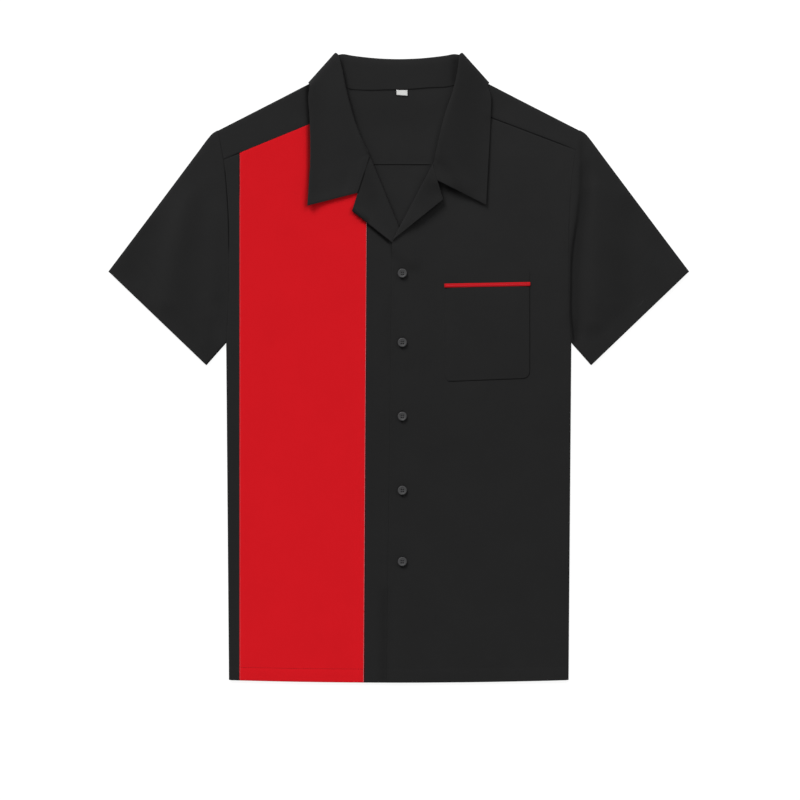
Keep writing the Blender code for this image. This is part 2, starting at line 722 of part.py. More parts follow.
def crease_collar_section(turn, sign):
    """The collar turns over the shoulder, from turn 0 below to pi above."""
    neck = side(SHOULDER_AXIS, sign)
    corner, flank = side(COLLAR_CORNER, sign), side(COLLAR_SIDE_AXIS, sign)
    low, high = back_level(neck), upper_layer(neck)
    across = (COLLAR_CORNER - COLLAR_SIDE).normalized()
    crease_out = side(Vector((across.y, -across.x)), sign)
    share = (1.0 - math.cos(turn)) / 2
    bulge = math.sin(turn)

    seam = neck - side(SHOULDER_ALONG, sign) * COLLAR_CLOTH / 2 + side(SHOULDER_OUT, sign) * BEND * bulge
    seam = Vector((*seam, low + (high - low) * share))

    radius = BACK_ROLL + (CORNER_ROLL - BACK_ROLL) * share
    roll_low, roll_high = FALL_LEVEL + BACK_ROLL, high + CORNER_ROLL
    spot = corner - crease_out * CORNER_BULGE * (1.0 - bulge)
    half_open = (neck - corner).normalized() + (flank - corner).normalized()
    inward = Vector((*half_open.normalized(), 0.0))
    tip = Vector((*spot, roll_low + (roll_high - roll_low) * share)) + inward * COLLAR_CLOTH / 2
    up = Vector((*(-crease_out * bulge), math.cos(turn)))
    up = (up - inward * up.dot(inward)).normalized()

    edge_high = high + LAPEL_SETTLE
    edge_radius = (edge_high - FALL_LEVEL) / 2
    free = flank + side(SHOULDER_OUT, sign) * edge_radius * bulge
    edge = Vector((*free, FALL_LEVEL + (edge_high - FALL_LEVEL) * share))
    return collar_section(seam, tip + inward * radius, inward, up, radius, edge)


def rest_on(layer, point, lift=0.0):
    """Height of the collar's wall where it lies on a front."""
    return layer(point.to_2d()) + LAPEL_SETTLE + GAP + lift


def lay_on(layer, section, first):
    """No point of the fall lies lower than the front under it."""
    for point in section[first:-1]:
        point.z = max(point.z, rest_on(layer, point))
    return section


def front_collar_section(row, layer):
    """The stand runs to the roll, and the fall comes back over it."""
    seam, roll, edge = (Vector(pair) for pair in ((row.seam_x, row.seam_y), (row.roll_x, row.roll_y),
                                                   (row.edge_x, row.edge_y)))
    out = (roll - seam).normalized()
    level = layer(seam)
    axis = roll - out * (row.roll_radius + COLLAR_CLOTH / 2)
    center = Vector((*axis, level + row.roll_radius))
    seam = Vector((*(seam + out * SEAM_ROOM), level))
    edge = Vector((*edge, rest_on(layer, edge, row.lift)))
    inward, up = Vector((*-out, 0.0)), Vector((0.0, 0.0, -1.0))
    section = collar_section(seam, center, inward, up, row.roll_radius, edge)
    return lay_on(layer, section, FIRST_ON_FALL)


def gorge_section(center, inward, up, radius, edge, begin):
    """Points from a place on the roll to the free edge, with no stand.

    They lie close together on the roll where it begins at the bottom, and
    spread evenly over the fall where it begins at the top.
    """
    top = center - up * radius
    bend = (math.pi - begin) * radius
    fall = (edge - top).length
    on_roll = [bend * step / 6 for step in range(7)] + [bend + fall * share for share in FALL_SHARES]
    spread = (begin / math.pi) ** 2
    points = []
    for near, share in zip(on_roll, GORGE_SHARES):
        distance = near + ((bend + fall) * share - near) * spread
        turn = begin + distance / radius
        if turn < math.pi:
            points.append(center + up * radius * math.cos(turn) - inward * radius * math.sin(turn))
        else:
            points.append(top.lerp(edge, (distance - bend) / fall))
    return points


def gorge_sections(rows, lapel, roll, layer):
    """Beyond the roll's end the neck seam runs on the turned-over lapel."""
    sections = []
    end = roll.unfold(lapel.notch)
    beyond_end = roll.split(end)[1]
    last_edge = Vector((rows[-1].edge_x, rows[-1].edge_y))
    lift = rows[-1].lift
    inward, up = Vector((*-roll.out, 0.0)), Vector((0.0, 0.0, -1.0))
    radius = roll.local_radius(0.0)

    for step in range(GORGE_STEPS + 1):
        turn = math.pi * step / GORGE_STEPS
        pattern = lapel.roll_top.lerp(end, turn * radius / beyond_end)
        axis = pattern - roll.out * roll.split(pattern)[1] - roll.along * GORGE_OFFSET
        center = Vector((*axis, layer(axis) + radius))
        flat_edge = last_edge.lerp(lapel.collar_point, GORGE_EDGE_START + GORGE_EDGE_STEP * step)
        edge = Vector((*flat_edge, rest_on(layer, flat_edge, lift)))
        section = gorge_section(center, inward, up, radius, edge, turn)
        sections.append(lay_on(layer, section, FIRST_ON_FALL if step < GORGE_STEPS else 1))

    for row in GORGE_FLAT:
        seam = roll.place(lapel.roll_top.lerp(end, row.seam_share))
        flat_edge = last_edge.lerp(lapel.collar_point, row.edge_share)
        edge = Vector((*flat_edge, rest_on(layer, flat_edge, lift)))
        seam += (edge - seam).normalized() * SEAM_ROOM
        sections.append(lay_on(layer, [seam.lerp(edge, part) for part in GORGE_SHARES], 1))
    return sections


def collar_half(sign, rows, lapel, roll, layer):
    """Cuts across the collar from the centre of the back to one front end."""
    sections = [back_collar_section(row, sign) for row in BACK_COLLAR]
    sections += [crease_collar_section(math.pi * step / 4, sign) for step in range(5)]
    sections += [front_collar_section(row, layer) for row in rows]
    return sections + gorge_sections(rows, lapel, roll, layer)


def make_collar(right_roll, left_roll):
    right = collar_half(-1, RIGHT_COLLAR, RIGHT_LAPEL, right_roll, upper_layer)
    left = collar_half(1, LEFT_COLLAR, LEFT_LAPEL, left_roll, left_front_layer)
    bm = bmesh.new()
    rows = [[bm.verts.new(point) for point in section] for section in list(reversed(right)) + left[1:]]
    join_rows(bm, rows, closed=False)
    give_wall(finish(bm, "collar", BLACK), COLLAR_CLOTH)


def pocket_outline():
    points = [
        Vector((POCKET_LEFT, POCKET_TOP_LEFT)),
        Vector((POCKET_LEFT, POCKET_BOTTOM_LEFT + POCKET_SLANT.y)),
        Vector((POCKET_LEFT + POCKET_SLANT.x, POCKET_BOTTOM_LEFT)),
    ]
    center = Vector((POCKET_RIGHT - POCKET_ROUND, POCKET_BOTTOM_RIGHT + POCKET_ROUND))
    for step in range(4):
        turn = math.radians(-90.0 + 30.0 * step)
        points.append(center + Vector((math.cos(turn), math.sin(turn))) * POCKET_ROUND)
    points.append(Vector((POCKET_RIGHT, POCKET_TOP_RIGHT)))
    return points


def make_pocket():
    def place(point):
        return Vector((point.x, point.y, left_front_layer(point) + CLOTH + GAP))
    cloth_piece("pocket", pocket_outline(), BLACK, place, margin=0.0)
    low_left = Vector((POCKET_LEFT, POCKET_TOP_LEFT + GAP))
    low_right = Vector((POCKET_RIGHT + PIPING_OVERHANG, POCKET_TOP_RIGHT + GAP))
    rise = Vector((0.0, PIPING_HEIGHT))
    band = [low_left, low_right, low_right + rise, low_left + rise]

    def place_band(point):
        return Vector((point.x, point.y, left_front_layer(point) + CLOTH / 2 + GAP + PIPING_CLOTH / 2))
    cloth_piece("pocket_piping", band, RED, place_band, thickness=PIPING_CLOTH, margin=0.0)


def make_tab():
    outline = [Vector((TAB_LEFT, TAB_BOTTOM)), Vector((TAB_LEFT + TAB_WIDTH, TAB_BOTTOM)),
               Vector((TAB_LEFT + TAB_WIDTH, TAB_TOP)), Vector((TAB_LEFT, TAB_TOP))]

    def place(point):
        return Vector((point.x, point.y, back_level(point) + CLOTH + GAP))
    cloth_piece("size_tab", outline, PALE, place, margin=0.0)


def make_button(number, spot):
    """A turned disc with a raised rim and four holes."""
    reach = [-BUTTON_CLEAR, 0.0, BUTTON_CLEAR]
    levels = [left_front_layer(spot + Vector((x, y))) for x in reach for y in reach]
    floor = max(levels) + CLOTH / 2 + GAP
    bm = bmesh.new()
    profile = [(row.radius_share * BUTTON_RADIUS, row.height_share * BUTTON_HEIGHT) for row in BUTTON_PROFILE]
    verts = [bm.verts.new((radius, 0.0, height)) for radius, height in profile]
    edges = [bm.edges.new(pair) for pair in zip(verts, verts[1:])]
    bmesh.ops.spin(bm, geom=verts + edges, axis=(0.0, 0.0, 1.0), cent=(0.0, 0.0, 0.0),
                   angle=math.tau, steps=BUTTON_TURNS, use_merge=True)
    bmesh.ops.remove_doubles(bm, verts=bm.verts[:], dist=0.001)
    bmesh.ops.recalc_face_normals(bm, faces=bm.faces[:])
    button = finish(bm, f"button_{number}", GREY)
    button.location = (spot.x * MM, spot.y * MM, floor * MM)

    cutter_mesh = bmesh.new()
    for quarter in range(4):
        angle = math.radians(45.0 + 90.0 * quarter)
        made = bmesh.ops.create_cone(cutter_mesh, cap_ends=True, segments=6, radius1=BUTTON_HOLE_RADIUS,
                                     radius2=BUTTON_HOLE_RADIUS, depth=BUTTON_HEIGHT * 3)
        shift = Vector((math.cos(angle), math.sin(angle), 0.0)) * BUTTON_HOLE_SPREAD
        bmesh.ops.translate(cutter_mesh, vec=shift, verts=made["verts"])
    cutter = finish(cutter_mesh, f"button_{number}_holes", GREY)
    cutter.location = button.location
    cutter.hide_render = True
    cutter.display_type = "WIRE"
    holes = button.modifiers.new("holes", "BOOLEAN")
    holes.operation = "DIFFERENCE"
    holes.solver = "EXACT"
    holes.object = cutter
    button.data.shade_smooth()
    button.data.set_sharp_from_angle(angle=math.radians(35.0))


def main():
    for obj in list(bpy.data.objects):
        bpy.data.objects.remove(obj, do_unlink=True)
    make_back()
    make_yoke()
    right_roll = make_right_front()
    left_roll = make_left_front()
    make_sleeve("sleeve_right", -1)
    make_sleeve("sleeve_left", 1)
    make_collar(right_roll, left_roll)
    make_pocket()
    make_tab()
    for number, y in enumerate(BUTTON_Y, 1):
        make_button(number, Vector((BUTTON_X, y)))


main()
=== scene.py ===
import math

import bmesh
import bpy
from mathutils import Matrix, Vector, noise


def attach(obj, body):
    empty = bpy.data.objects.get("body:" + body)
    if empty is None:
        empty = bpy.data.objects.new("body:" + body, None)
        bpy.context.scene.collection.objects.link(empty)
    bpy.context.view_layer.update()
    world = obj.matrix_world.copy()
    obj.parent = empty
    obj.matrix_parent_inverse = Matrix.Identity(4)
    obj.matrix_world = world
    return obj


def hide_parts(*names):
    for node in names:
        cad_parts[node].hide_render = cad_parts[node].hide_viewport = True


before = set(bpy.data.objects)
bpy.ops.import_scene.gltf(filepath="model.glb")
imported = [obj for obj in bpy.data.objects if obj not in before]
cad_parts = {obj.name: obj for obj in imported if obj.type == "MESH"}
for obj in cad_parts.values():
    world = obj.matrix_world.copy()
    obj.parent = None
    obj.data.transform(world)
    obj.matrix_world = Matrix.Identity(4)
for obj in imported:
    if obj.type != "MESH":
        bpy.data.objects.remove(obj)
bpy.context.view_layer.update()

print("frame loaded:", len(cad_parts), "solids")

# Tables and functions work in millimetres, and a mesh is scaled to metres when it is finished.
# The shirt lies on z = 0 with its collar towards +Y and the wearer's left side towards +X.
mm = 0.001

cloth = {
    "wall": 0.5,             # a single ply as it looks here
    "solidWall": 1.1,        # the same ply in the solids
    "collarWall": 1.1,       # two plies with interlining
    "solidCollarWall": 1.6,
    "gap": 0.3,              # between the solids
    "cell": 5,             # mesh size on an open panel
    "seamLoops": (0.45, 0.6, 1.3),   # rows of faces along each outline
    "merge": 0.02,
    "double": 1.8,           # how much thicker a doubled ply is
}
plySettle = (cloth["solidWall"] - cloth["wall"]) / 2
collarSettle = (cloth["solidCollarWall"] - cloth["collarWall"]) / 2

layers = {
    "edgeRadius": 2.4,       # half the height of the shirt at its rounded edges
    "bottom": 0.55,          # middle of the back's wall
    "top": 4.25,             # middle of the wall of a front
    "overlapStep": 0.54,     # from the front below to the front on top
    "lapelSettle": 1.65,     # from a front up to its lapel
    "settleLength": 24,      # over which a turned part comes down to its level
    "underCollar": 2.2,      # how far the collar's hidden fall lifts what lies on it
    "collarEase": 46,
    "unevenness": 0.16,      # height and size of the small unevenness that all cloth has
    "unevenSize": 34,
    "clear": 0.7,            # a leaf stands off only where it is this far above the front,
    "clearEase": 1.1,        # and fully from this much more
}
shoulderBend = layers["edgeRadius"] - layers["bottom"]

body = {
    "hemHalf": 220.7,
    "hemY": -405.9,
    "hemSag": 3.3,
    "sagEase": 60,
    "underarm": Vector((224.3, 32.2)),
    # height up the armhole seam, and its distance from the centre line
    "armhole": [(32.2, 224.3), (101, 220.6), (186, 221), (215, 222.5),
                (250, 225.2), (272, 228), (291, 231.8), (309.4, 235)],
    "yokeBackY": 264.1,
}

hem = {
    "radius": 0.32,          # of the fold at the edge
    "depth": 17,             # from the edge up to the stitches
    "allowance": 19.5,
    "step": 0.16,            # how much higher the folded part stands
    "stepEase": 1.6,
    "groove": 0.14,          # at the stitches
    "grooveWidth": 0.8,
    "netRoom": 0.9,          # from the stitches to the rows of faces beside them
    "sideRoom": 3,           # the turned-up part ends this far from a side seam
    "cornerRoom": 0.3,       # and starts this far below the fold there
}
hemAxisY = body["hemY"] + hem["radius"] + cloth["wall"] / 2
hemLow = hemAxisY - hem["allowance"]
stitchY = body["hemY"] + hem["depth"]
sideFoot = Vector((body["hemHalf"], body["hemY"]))

shoulder = {
    "neckPoint": Vector((89.4, 383)),
    "slope": math.radians(27.1),
    "length": 200,
    "tipY": 306,
}
shoulder["along"] = Vector((math.cos(shoulder["slope"]), -math.sin(shoulder["slope"])))
shoulder["out"] = Vector((math.sin(shoulder["slope"]), math.cos(shoulder["slope"])))
shoulder["axis"] = shoulder["neckPoint"] - shoulder["out"] * layers["edgeRadius"]

# Creases: from x, y to x, y, half width, height. A trough has a minus.
frontCreases = [
    # the first one is in the solids too, and these are the broadest
    (254, 232, 252, 60, 12, 2.8),
    (256, 262, 300, 120, 26, 0.9),
    (-250, 250, -312, 130, 24, 1.1),
    (-238, 200, -243, 70, 12, 1),
    (-300, 215, -345, 150, 18, 0.6),
    (120, -60, 205, -250, 40, 0.7),
    (-150, -120, -95, -330, 45, 0.6),
    # sleeve on the wearer's right
    (-274, 222, -300, 86, 15, 2),
    (-336, 170, -350, 118, 13, -0.8),
    (-252, 86, -250, 34, 9, 1),
    (-231, 84, -231, 40, 8, -0.7),
    (-262, 276, -286, 240, 10, 0.7),
    (-330, 158, -352, 112, 9, 0.6),
    # sleeve on the wearer's left
    (266, 220, 263, 80, 13, 1.4),
    (308, 196, 306, 92, 22, -1.6),
    (262, 286, 282, 252, 10, 0.7),
    (296, 226, 330, 176, 11, 0.7),
    (334, 132, 352, 108, 9, 0.6),
    (262, 62, 282, 82, 9, 0.6),
    (214, 262, 211, 66, 9, 0.5),
    # the front on the wearer's left
    (222, 264, 213, 234, 3.6, -0.4),
    (215, 246, 206, 216, 4, -0.3),
    (152, 268, 170, 206, 22, 1),
    (214, 168, 190, 120, 12, 0.3),
    (96, 210, 132, 160, 15, 0.25),
    (36, 190, 64, 128, 12, 0.3),
    (28, -20, 66, -88, 13, 0.25),
    (40, -196, 62, -330, 16, 0.3),
    (196, -20, 206, -140, 11, 0.3),
    (72, -330, 86, -404, 9, 0.4),
    (146, -346, 138, -404, 9, -0.3),
    (188, -300, 196, -404, 10, 0.35),
    # the strip with the buttons, and the drag beside them
    (-17.9, -287, -18.6, -330, 2.8, -0.5),
    (-21, -330, -22.5, -398, 4.5, 0.3),
    (-6, 127, -24, 138, 3.6, 0.2),
    (13, 118, 31, 107, 4, 0.24),
    (-6, 29, -22, 16, 3.4, 0.24),
    (12, 38, 26, 52, 3.6, 0.28),
    (-7, -60, -26, -57, 4, 0.2),
    (13, -67, 34, -78, 4.2, 0.22),
    (-6, -156, -21, -149, 3.4, 0.3),
    (11, -166, 22, -180, 3.4, 0.26),
    (-6, -249, -22, -242, 3.4, 0.3),
    (12, -257, 30, -270, 4, 0.2),
    # red panel and side strip
    (-172, 130, -190, -60, 17, 0.3),
    (-118, 60, -104, -70, 15, -0.25),
    (-86, -130, -68, -290, 17, 0.3),
    (-152, -322, -134, -404, 11, 0.4),
    (-84, -344, -94, -404, 9, 0.3),
    (-190, 226, -150, 186, 14, 0.3),
    (-214, -80, -211, -260, 5, 0.35),
]
# the back lies face down, so its creases only rise
backCreases = [
    (-126, -384, -64, -226, 11, 0.5),
    (78, -394, 128, -250, 12, 0.6),
    (-34, 36, 58, 148, 14, 0.45),
    (146, 56, 188, 172, 10, 0.5),
    (-186, 18, -152, 140, 9, 0.5),
    (2, -168, -72, -58, 12, 0.4),
    (118, -122, 162, 4, 9, 0.4),
    (-190, -210, -168, -330, 10, 0.45),
    (16, -330, -4, -404, 9, 0.35),
    (-12, 232, 34, 206, 9, 0.3),
    (60, 318, 4, 180, 13, 1.4),
    (-246, 236, -300, 150, 12, 0.5),
    (-250, 84, -300, 112, 9, 0.4),
    (250, 240, 306, 158, 12, 0.5),
    (254, 70, 296, 104, 9, 0.4),
]

# Where the wearer's left sleeve drops beside the armhole: x, y, depth
sleeveDrop = {
    "line": [(238, 298, 0.4), (238.5, 262, 1.6), (238, 228, 2.5), (233, 190, 2.8),
             (228, 160, 2.9), (225.5, 135, 2.9), (225, 70, 2.9), (228, 44, 2.9),
             (229, 30, 1)],
    "nearX": (196, 276),     # nothing of it is felt outside
    "fall": 3.4,             # how wide the drop is
    "rise": 19,              # and the way up again
}

# Where the leaf's notch and the lapel's edge cast a shade: from x, y to x, y
notchLine = (64, 234.5, 77, 230.4)
edgeLine = (-41, 186.5, -13.5, 163.2)
# Painted shade and painted light on the cloth on top: from x, y to x, y, half width, how much darker it is
# painted. Painted lighter has a minus.
paintedShadingOnTop = [
    # cloth that the collar and the lapel keep in the shade
    (-118.8, 367, -115.8, 318, 3.3, 0.74),
    (-115.8, 318, -115, 262, 3.6, 0.82),
    (-115, 262, -118.4, 211, 3.6, 0.82),
    (-60, 204, -43, 190, 2.6, 0.7),
    (*notchLine, 4, 0.62),
    (*edgeLine, 1.6, 0.85),
    # painted shade on the lapels
    (-46, 258, -34, 224, 12, 0.14),
    (48, 250, 34, 212, 16, 0.2),
    (34, 212, 14, 182, 11, 0.12),
    # painted shade on the sleeve on the wearer's left: in the drop, on the cloth beside it, and on the fall
    # of its ridge
    (237, 290, 237, 262, 5, 0.12),
    (237, 262, 236, 228, 4.2, 0.26),
    (236, 228, 230.5, 190, 4.2, 0.3),
    (230.5, 190, 225, 150, 4, 0.32),
    (225, 150, 223.6, 70, 3.4, 0.34),
    (223.6, 70, 227, 36, 3.4, 0.45),
    (242, 266, 241, 228, 9, 0.2),
    (241, 228, 236, 185, 8, 0.27),
    (236, 185, 231, 140, 7.5, 0.25),
    (231, 140, 229.5, 60, 7, 0.22),
    (229.5, 60, 229.5, 36, 5, 0.3),
    (252, 262, 282, 214, 20, 0.07),
    (292, 214, 284, 84, 20, 0.12),
    (322, 200, 330, 110, 26, 0.06),
    # painted shade and painted light on the sleeve on the wearer's right
    (-288, 218, -320, 88, 12, -0.08),
    (-262, 232, -276, 76, 15, 0.05),
    (-326, 188, -352, 124, 11, 0.1),
    (-286, 74, -264, 48, 12, 0.06),
    (-243, 78, -235, 46, 8, -0.07),
    # painted shade beside the front edge
    (-19, -292, -21, -402, 6, 0.17),
    (-12, 100, -14, 20, 4, 0.05),
]
# painted shade on the collar: over the leaf on the wearer's left and down to its notch, a dark patch beside
# that leaf's roll at the top, and a dark band along the roll on the wearer's right
paintedShadingOnCollar = [
    (90, 376, 86, 234, 32, 0.14),
    (44, 304, 52, 266, 18, 0.15),
    (50, 266, 78, 236, 17, 0.25),
    (73, 400, 71, 376, 5, 0.35),
    (-74, 404, -68.1, 363.9, 1.8, 0.25),
    (-68.1, 363.9, -59.5, 331.1, 1.8, 0.25),
    (-59.5, 331.1, -51, 305.5, 1.8, 0.25),
    (-51, 305.5, -40.4, 277.4, 1.8, 0.25),
]
paintedShadeShare = 0.78            # how much darker the fullest painted shade makes a place
paleShare = 0.21             # how much paler a fully worn place is, also the scale of painted light


def ease(value):
    value = max(0, min(1, value))
    return value * value * (3 - 2 * value)


def mirrored(point, sign):
    return Vector((point.x * sign, point.y))


def nearestOn(point, start, end):
    # share of a line where the point is nearest, and the way from there to the point
    run = end - start
    share = max(0, min(1, (point - start).dot(run) / run.length_squared))
    return share, point - start - run * share


def awayFrom(point, start, end):
    return nearestOn(point, start, end)[1].length


def awayOutside(point, corners):
    # 0 inside a convex shape whose corners run anticlockwise
    sides = list(zip(corners, corners[1:] + corners[:1]))
    if all((end - start).cross(point - start) >= 0 for start, end in sides):
        return 0
    return min(awayFrom(point, start, end) for start, end in sides)


def armholeHalf(y):
    rows = body["armhole"]
    for low, high in zip(rows, rows[1:]):
        if y <= high[0]:
            break
    share = (y - low[0]) / (high[0] - low[0])
    return low[1] + share * (high[1] - low[1])


def rowsNear(point, rows, reach):
    # for the lines of a table that are near: distance in half widths, and the row's last value
    for x1, y1, x2, y2, halfWidth, value in rows:
        room = reach * halfWidth
        if (min(x1, x2) - room <= point.x <= max(x1, x2) + room
                and min(y1, y2) - room <= point.y <= max(y1, y2) + room):
            yield awayFrom(point.to_2d(), Vector((x1, y1)), Vector((x2, y2))) / halfWidth, value


def creaseSum(point, rows):
    return sum(rise * math.exp(-away * away) for away, rise in rowsNear(point, rows, 3))


def dropDepth(point):
    # steep on the body's side, a long way up on the sleeve's
    depth, (left, right) = 0, sleeveDrop["nearX"]
    if not left <= point.x <= right:
        return depth
    for (x1, y1, deep1), (x2, y2, deep2) in zip(sleeveDrop["line"], sleeveDrop["line"][1:]):
        share, away = nearestOn(point, Vector((x1, y1)), Vector((x2, y2)))
        beside = math.copysign(away.length, away.x)
        deep = (deep1 + (deep2 - deep1) * share) * ease(1 + beside / sleeveDrop["fall"])
        depth = max(depth, deep * (1 - ease(beside / sleeveDrop["rise"])))
    return depth


def paintedShadingAt(spot, rows, lowest):
    # how much painted shade, and how much painted light, a place on top gets
    shares = [0]
    if spot.z >= lowest:
        shares += [amount * math.exp(-away * away) for away, amount in rowsNear(spot, rows, 2.4)]
    return min(1, max(shares) / paintedShadeShare), min(1, -min(shares) / paleShare)


def waviness(point, size, seed):
    # the same wherever two pieces meet
    return noise.noise(Vector((point.x / size, point.y / size, seed)))


def topRelief(point):
    # creases, drop and a little unevenness of everything on top
    uneven = layers["unevenness"] * waviness(point, layers["unevenSize"], 4)
    return creaseSum(point, frontCreases) - dropDepth(point) + uneven


# Heights of the layers

collarHidden = {
    "lowestY": 351.5,        # edge of the hidden fall at the centre of the back
    "sideX": 119,
    "bow": 16,
}


def collarUnder(point):
    lowest = collarHidden["lowestY"] + collarHidden["bow"] * (point.x / collarHidden["sideX"]) ** 2
    below = max(0, lowest - point.y)
    beside = max(0, abs(point.x) - collarHidden["sideX"])
    return layers["underCollar"] * (1 - ease(math.hypot(below, beside) / layers["collarEase"]))


def sideShare(point):
    # 0 on the side seam, 1 where the layer lies at its level
    run = layers["edgeRadius"] - cloth["wall"] / 2
    away = awayFrom(Vector((abs(point.x), point.y)), body["underarm"], sideFoot) - cloth["wall"] / 2
    turn = 1 - max(0, min(1, away / run))
    return math.sqrt(1 - turn * turn)


def backLevel(point):
    return layers["bottom"] + collarUnder(point) + creaseSum(point, backCreases)


sideSeamHalfGap = cloth["wall"] / 2 + 0.04


def lowerLayer(point):
    seam = layers["edgeRadius"] - sideSeamHalfGap
    return seam + (backLevel(point) - seam) * sideShare(point)


def upperLayer(point):
    level = layers["top"] + collarUnder(point) + topRelief(point)
    seam = layers["edgeRadius"] + sideSeamHalfGap
    return seam + (level - seam) * sideShare(point)


lapels = {
    "right": {
        "rollTop": Vector((-40.4, 277.4)), "breakPoint": Vector((17.2, 138.8)),
        "notch": Vector((-53.2, 227.2)), "corner": Vector((-60.8, 203.5)),
        "collarPoint": Vector((-118.6, 210.3)), "rollRadius": 1.5, "lift": 0.3,
    },
    "left": {
        "rollTop": Vector((47.4, 266.4)), "breakPoint": Vector((-8.8, 160.9)),
        "notch": Vector((50, 243.3)), "corner": Vector((57.5, 218.5)),
        "collarPoint": Vector((113.4, 211.6)), "rollRadius": 1.7, "lift": 2.6,
    },
    "endRoll": 1.1,          # radius of a roll at its break
    "ease": 17,              # over which the left front comes down from the right lapel
    "flat": 5,               # how far past the right front's edge it stays up
    "overlapEase": 27,
}
hiddenLapel = [lapels["right"]["breakPoint"], Vector((4, 182)), Vector((-12, 163))]


def overlapLift(point):
    flatEnd = lapels["right"]["breakPoint"].x + lapels["flat"]
    overFront = 1 - ease((point.x - flatEnd) / lapels["overlapEase"])
    overLapel = 1 - ease(awayOutside(point, hiddenLapel) / lapels["ease"])
    return layers["overlapStep"] * overFront + (2 * lapels["endRoll"] + cloth["gap"]) * overLapel


buttons = {
    "x": 4.6,
    "y": (122.7, 32.8, -63.1, -159.3, -251.8),
    "radius": 5.9,
    "height": 2.4,
    "reach": 6.4,            # cloth is measured this far to each side of a button
    "holeRadius": 0.8,
    "holeSpread": 1.95,
    "turns": 48,
    "dimple": 0.35,          # how far the thread pulls the cloth in
    "dimpleSize": 7,
    # share of the radius, share of the height
    "profile": [(0, 0), (0.66, 0), (0.82, 0.06), (0.94, 0.24), (1, 0.5), (0.99, 0.74),
                (0.95, 0.91), (0.88, 1), (0.81, 1), (0.75, 0.96), (0.69, 0.89), (0.62, 0.85), (0, 0.84)],
}


def buttonDimple(point):
    if abs(point.x - buttons["x"]) > 3 * buttons["dimpleSize"]:
        return 0
    near = min(math.hypot(point.x - buttons["x"], point.y - y) for y in buttons["y"])
    return buttons["dimple"] * math.exp(-(near / buttons["dimpleSize"]) ** 2)


def leftFrontLayer(point):
    return upperLayer(point) + overlapLift(point) - buttonDimple(point)


# Folding a flat cut


def foldOver(beyond, radius):
    # how far past a fold's axis, and how high, lies what is this far beyond it in the flat cut
    turn = beyond / radius
    if turn <= 0:
        return beyond, 0
    if turn < math.pi:
        return radius * math.sin(turn), radius * (1 - math.cos(turn))
    return math.pi * radius - beyond, 2 * radius


def cutAlong(start, run, wanted=None):
    # a cut through the faces that are wanted: a point of it and its normal
    return start, run.orthogonal().normalized(), wanted


class Roll:
    # a straight fold: what lies beyond the axis turns over and comes back

    overrun = 0.02           # share of its length by which it reaches past its start

    def __init__(self, start, end, out, radii, level, settle):
        self.start = start
        self.along = (end - start).normalized()
        self.length = (end - start).length
        self.out = out.normalized()
        self.radii = radii
        self.level = level
        self.settle = settle

    def radiusAt(self, share):
        low, high = self.radii
        return low + (high - low) * max(0, min(1, share))

    def split(self, point):
        # share of the axis, and distance beyond it
        away = point - self.start
        return away.dot(self.along) / self.length, away.dot(self.out)

    def unfold(self, point):
        # where a point that is seen on the turned-over part lies in the flat cut
        share, beyond = self.split(point)
        return point + self.out * (math.pi * self.radiusAt(share) - 2 * beyond)

    def place(self, point):
        share, beyond = self.split(point)
        if beyond <= 0 or share < -self.overrun:
            return Vector((*point, self.level(point)))
        past, rise = foldOver(beyond, self.radiusAt(share))
        if past < 0:
            rise += (self.settle - rise) * ease(-past / layers["settleLength"])
        spot = point - self.out * beyond + self.out * past
        return Vector((*spot, self.level(spot) + rise))

    def isTurned(self, point):
        share, beyond = self.split(point)
        return share >= -self.overrun and beyond > math.pi * self.radiusAt(share) / 2

    def cuts(self, count, wanted=None):
        lines = []
        for part in range(count + 1):
            first, last = (self.out * math.pi * radius * part / count for radius in self.radii)
            lines.append(cutAlong(self.start + first, self.along * self.length + last - first, wanted))
        return lines


def shoulderRoll(sign):
    ends = (shoulder["axis"], shoulder["axis"] + shoulder["along"] * shoulder["length"])
    return Roll(*(mirrored(end, sign) for end in ends), mirrored(shoulder["out"], sign),
                (shoulderBend, shoulderBend), backLevel, layers["top"] - layers["bottom"])


def lapelRoll(lapel, outSign, level):
    out = (lapel["breakPoint"] - lapel["rollTop"]).normalized().orthogonal() * outSign
    return Roll(lapel["rollTop"], lapel["breakPoint"], out, (lapel["rollRadius"], lapels["endRoll"]),
                level, layers["lapelSettle"] + lapel["lift"])


# How collar and lapels stand off the front, from x, y to x, y, half width, height
turnedLifts = [
    (51, 243, 80, 231, 15, 3.4),   # notch and front edge of the leaf
    (53, 242, 66, 236, 11, 1.4),
    (26, 190, 50, 212, 14, 3),   # lower edge of the lapel
    (104, 216, 116, 216, 9, 0.8),
    (120, 352, 119, 332, 9, 1.4),
    (-118, 366, -118, 214, 13, 3.5),
    (-112, 212, -66, 225, 9, 1.2),
    (-54, 197, -16, 162, 9, 2.3),
]


def turnedLift(spot, layer):
    # only for what lies clear above the front
    flat = spot.to_2d()
    lift = creaseSum(flat, turnedLifts)
    return lift * ease((spot.z - layer(flat) - layers["clear"]) / layers["clearEase"]) if lift > 0.001 else 0


rightRoll = lapelRoll(lapels["right"], 1, upperLayer)
leftRoll = lapelRoll(lapels["left"], -1, leftFrontLayer)
shoulderRolls = {sign: shoulderRoll(sign) for sign in (1, -1)}


def placeWithHem(point, lay, turn):
    # the hem turns up over the layer (turn 1) or under it (turn -1), and then the edge sags
    below = hemAxisY - point.y
    down, rise = foldOver(below, hem["radius"])
    spot = lay(Vector((point.x, hemAxisY - down)))
    spot.z += rise * turn
    if below <= 0:
        over = point.y - stitchY
        spot.z += turn * hem["groove"] * math.exp(-(over / hem["grooveWidth"]) ** 2)
        if turn < 0:
            spot.z += hem["step"] * (1 - ease(over / hem["stepEase"]))
    sag = body["hemSag"] * (1 - (spot.x / body["hemHalf"]) ** 2)
    spot.y -= sag * ease(1 - (spot.y - hemAxisY) / body["sagEase"])
    return spot


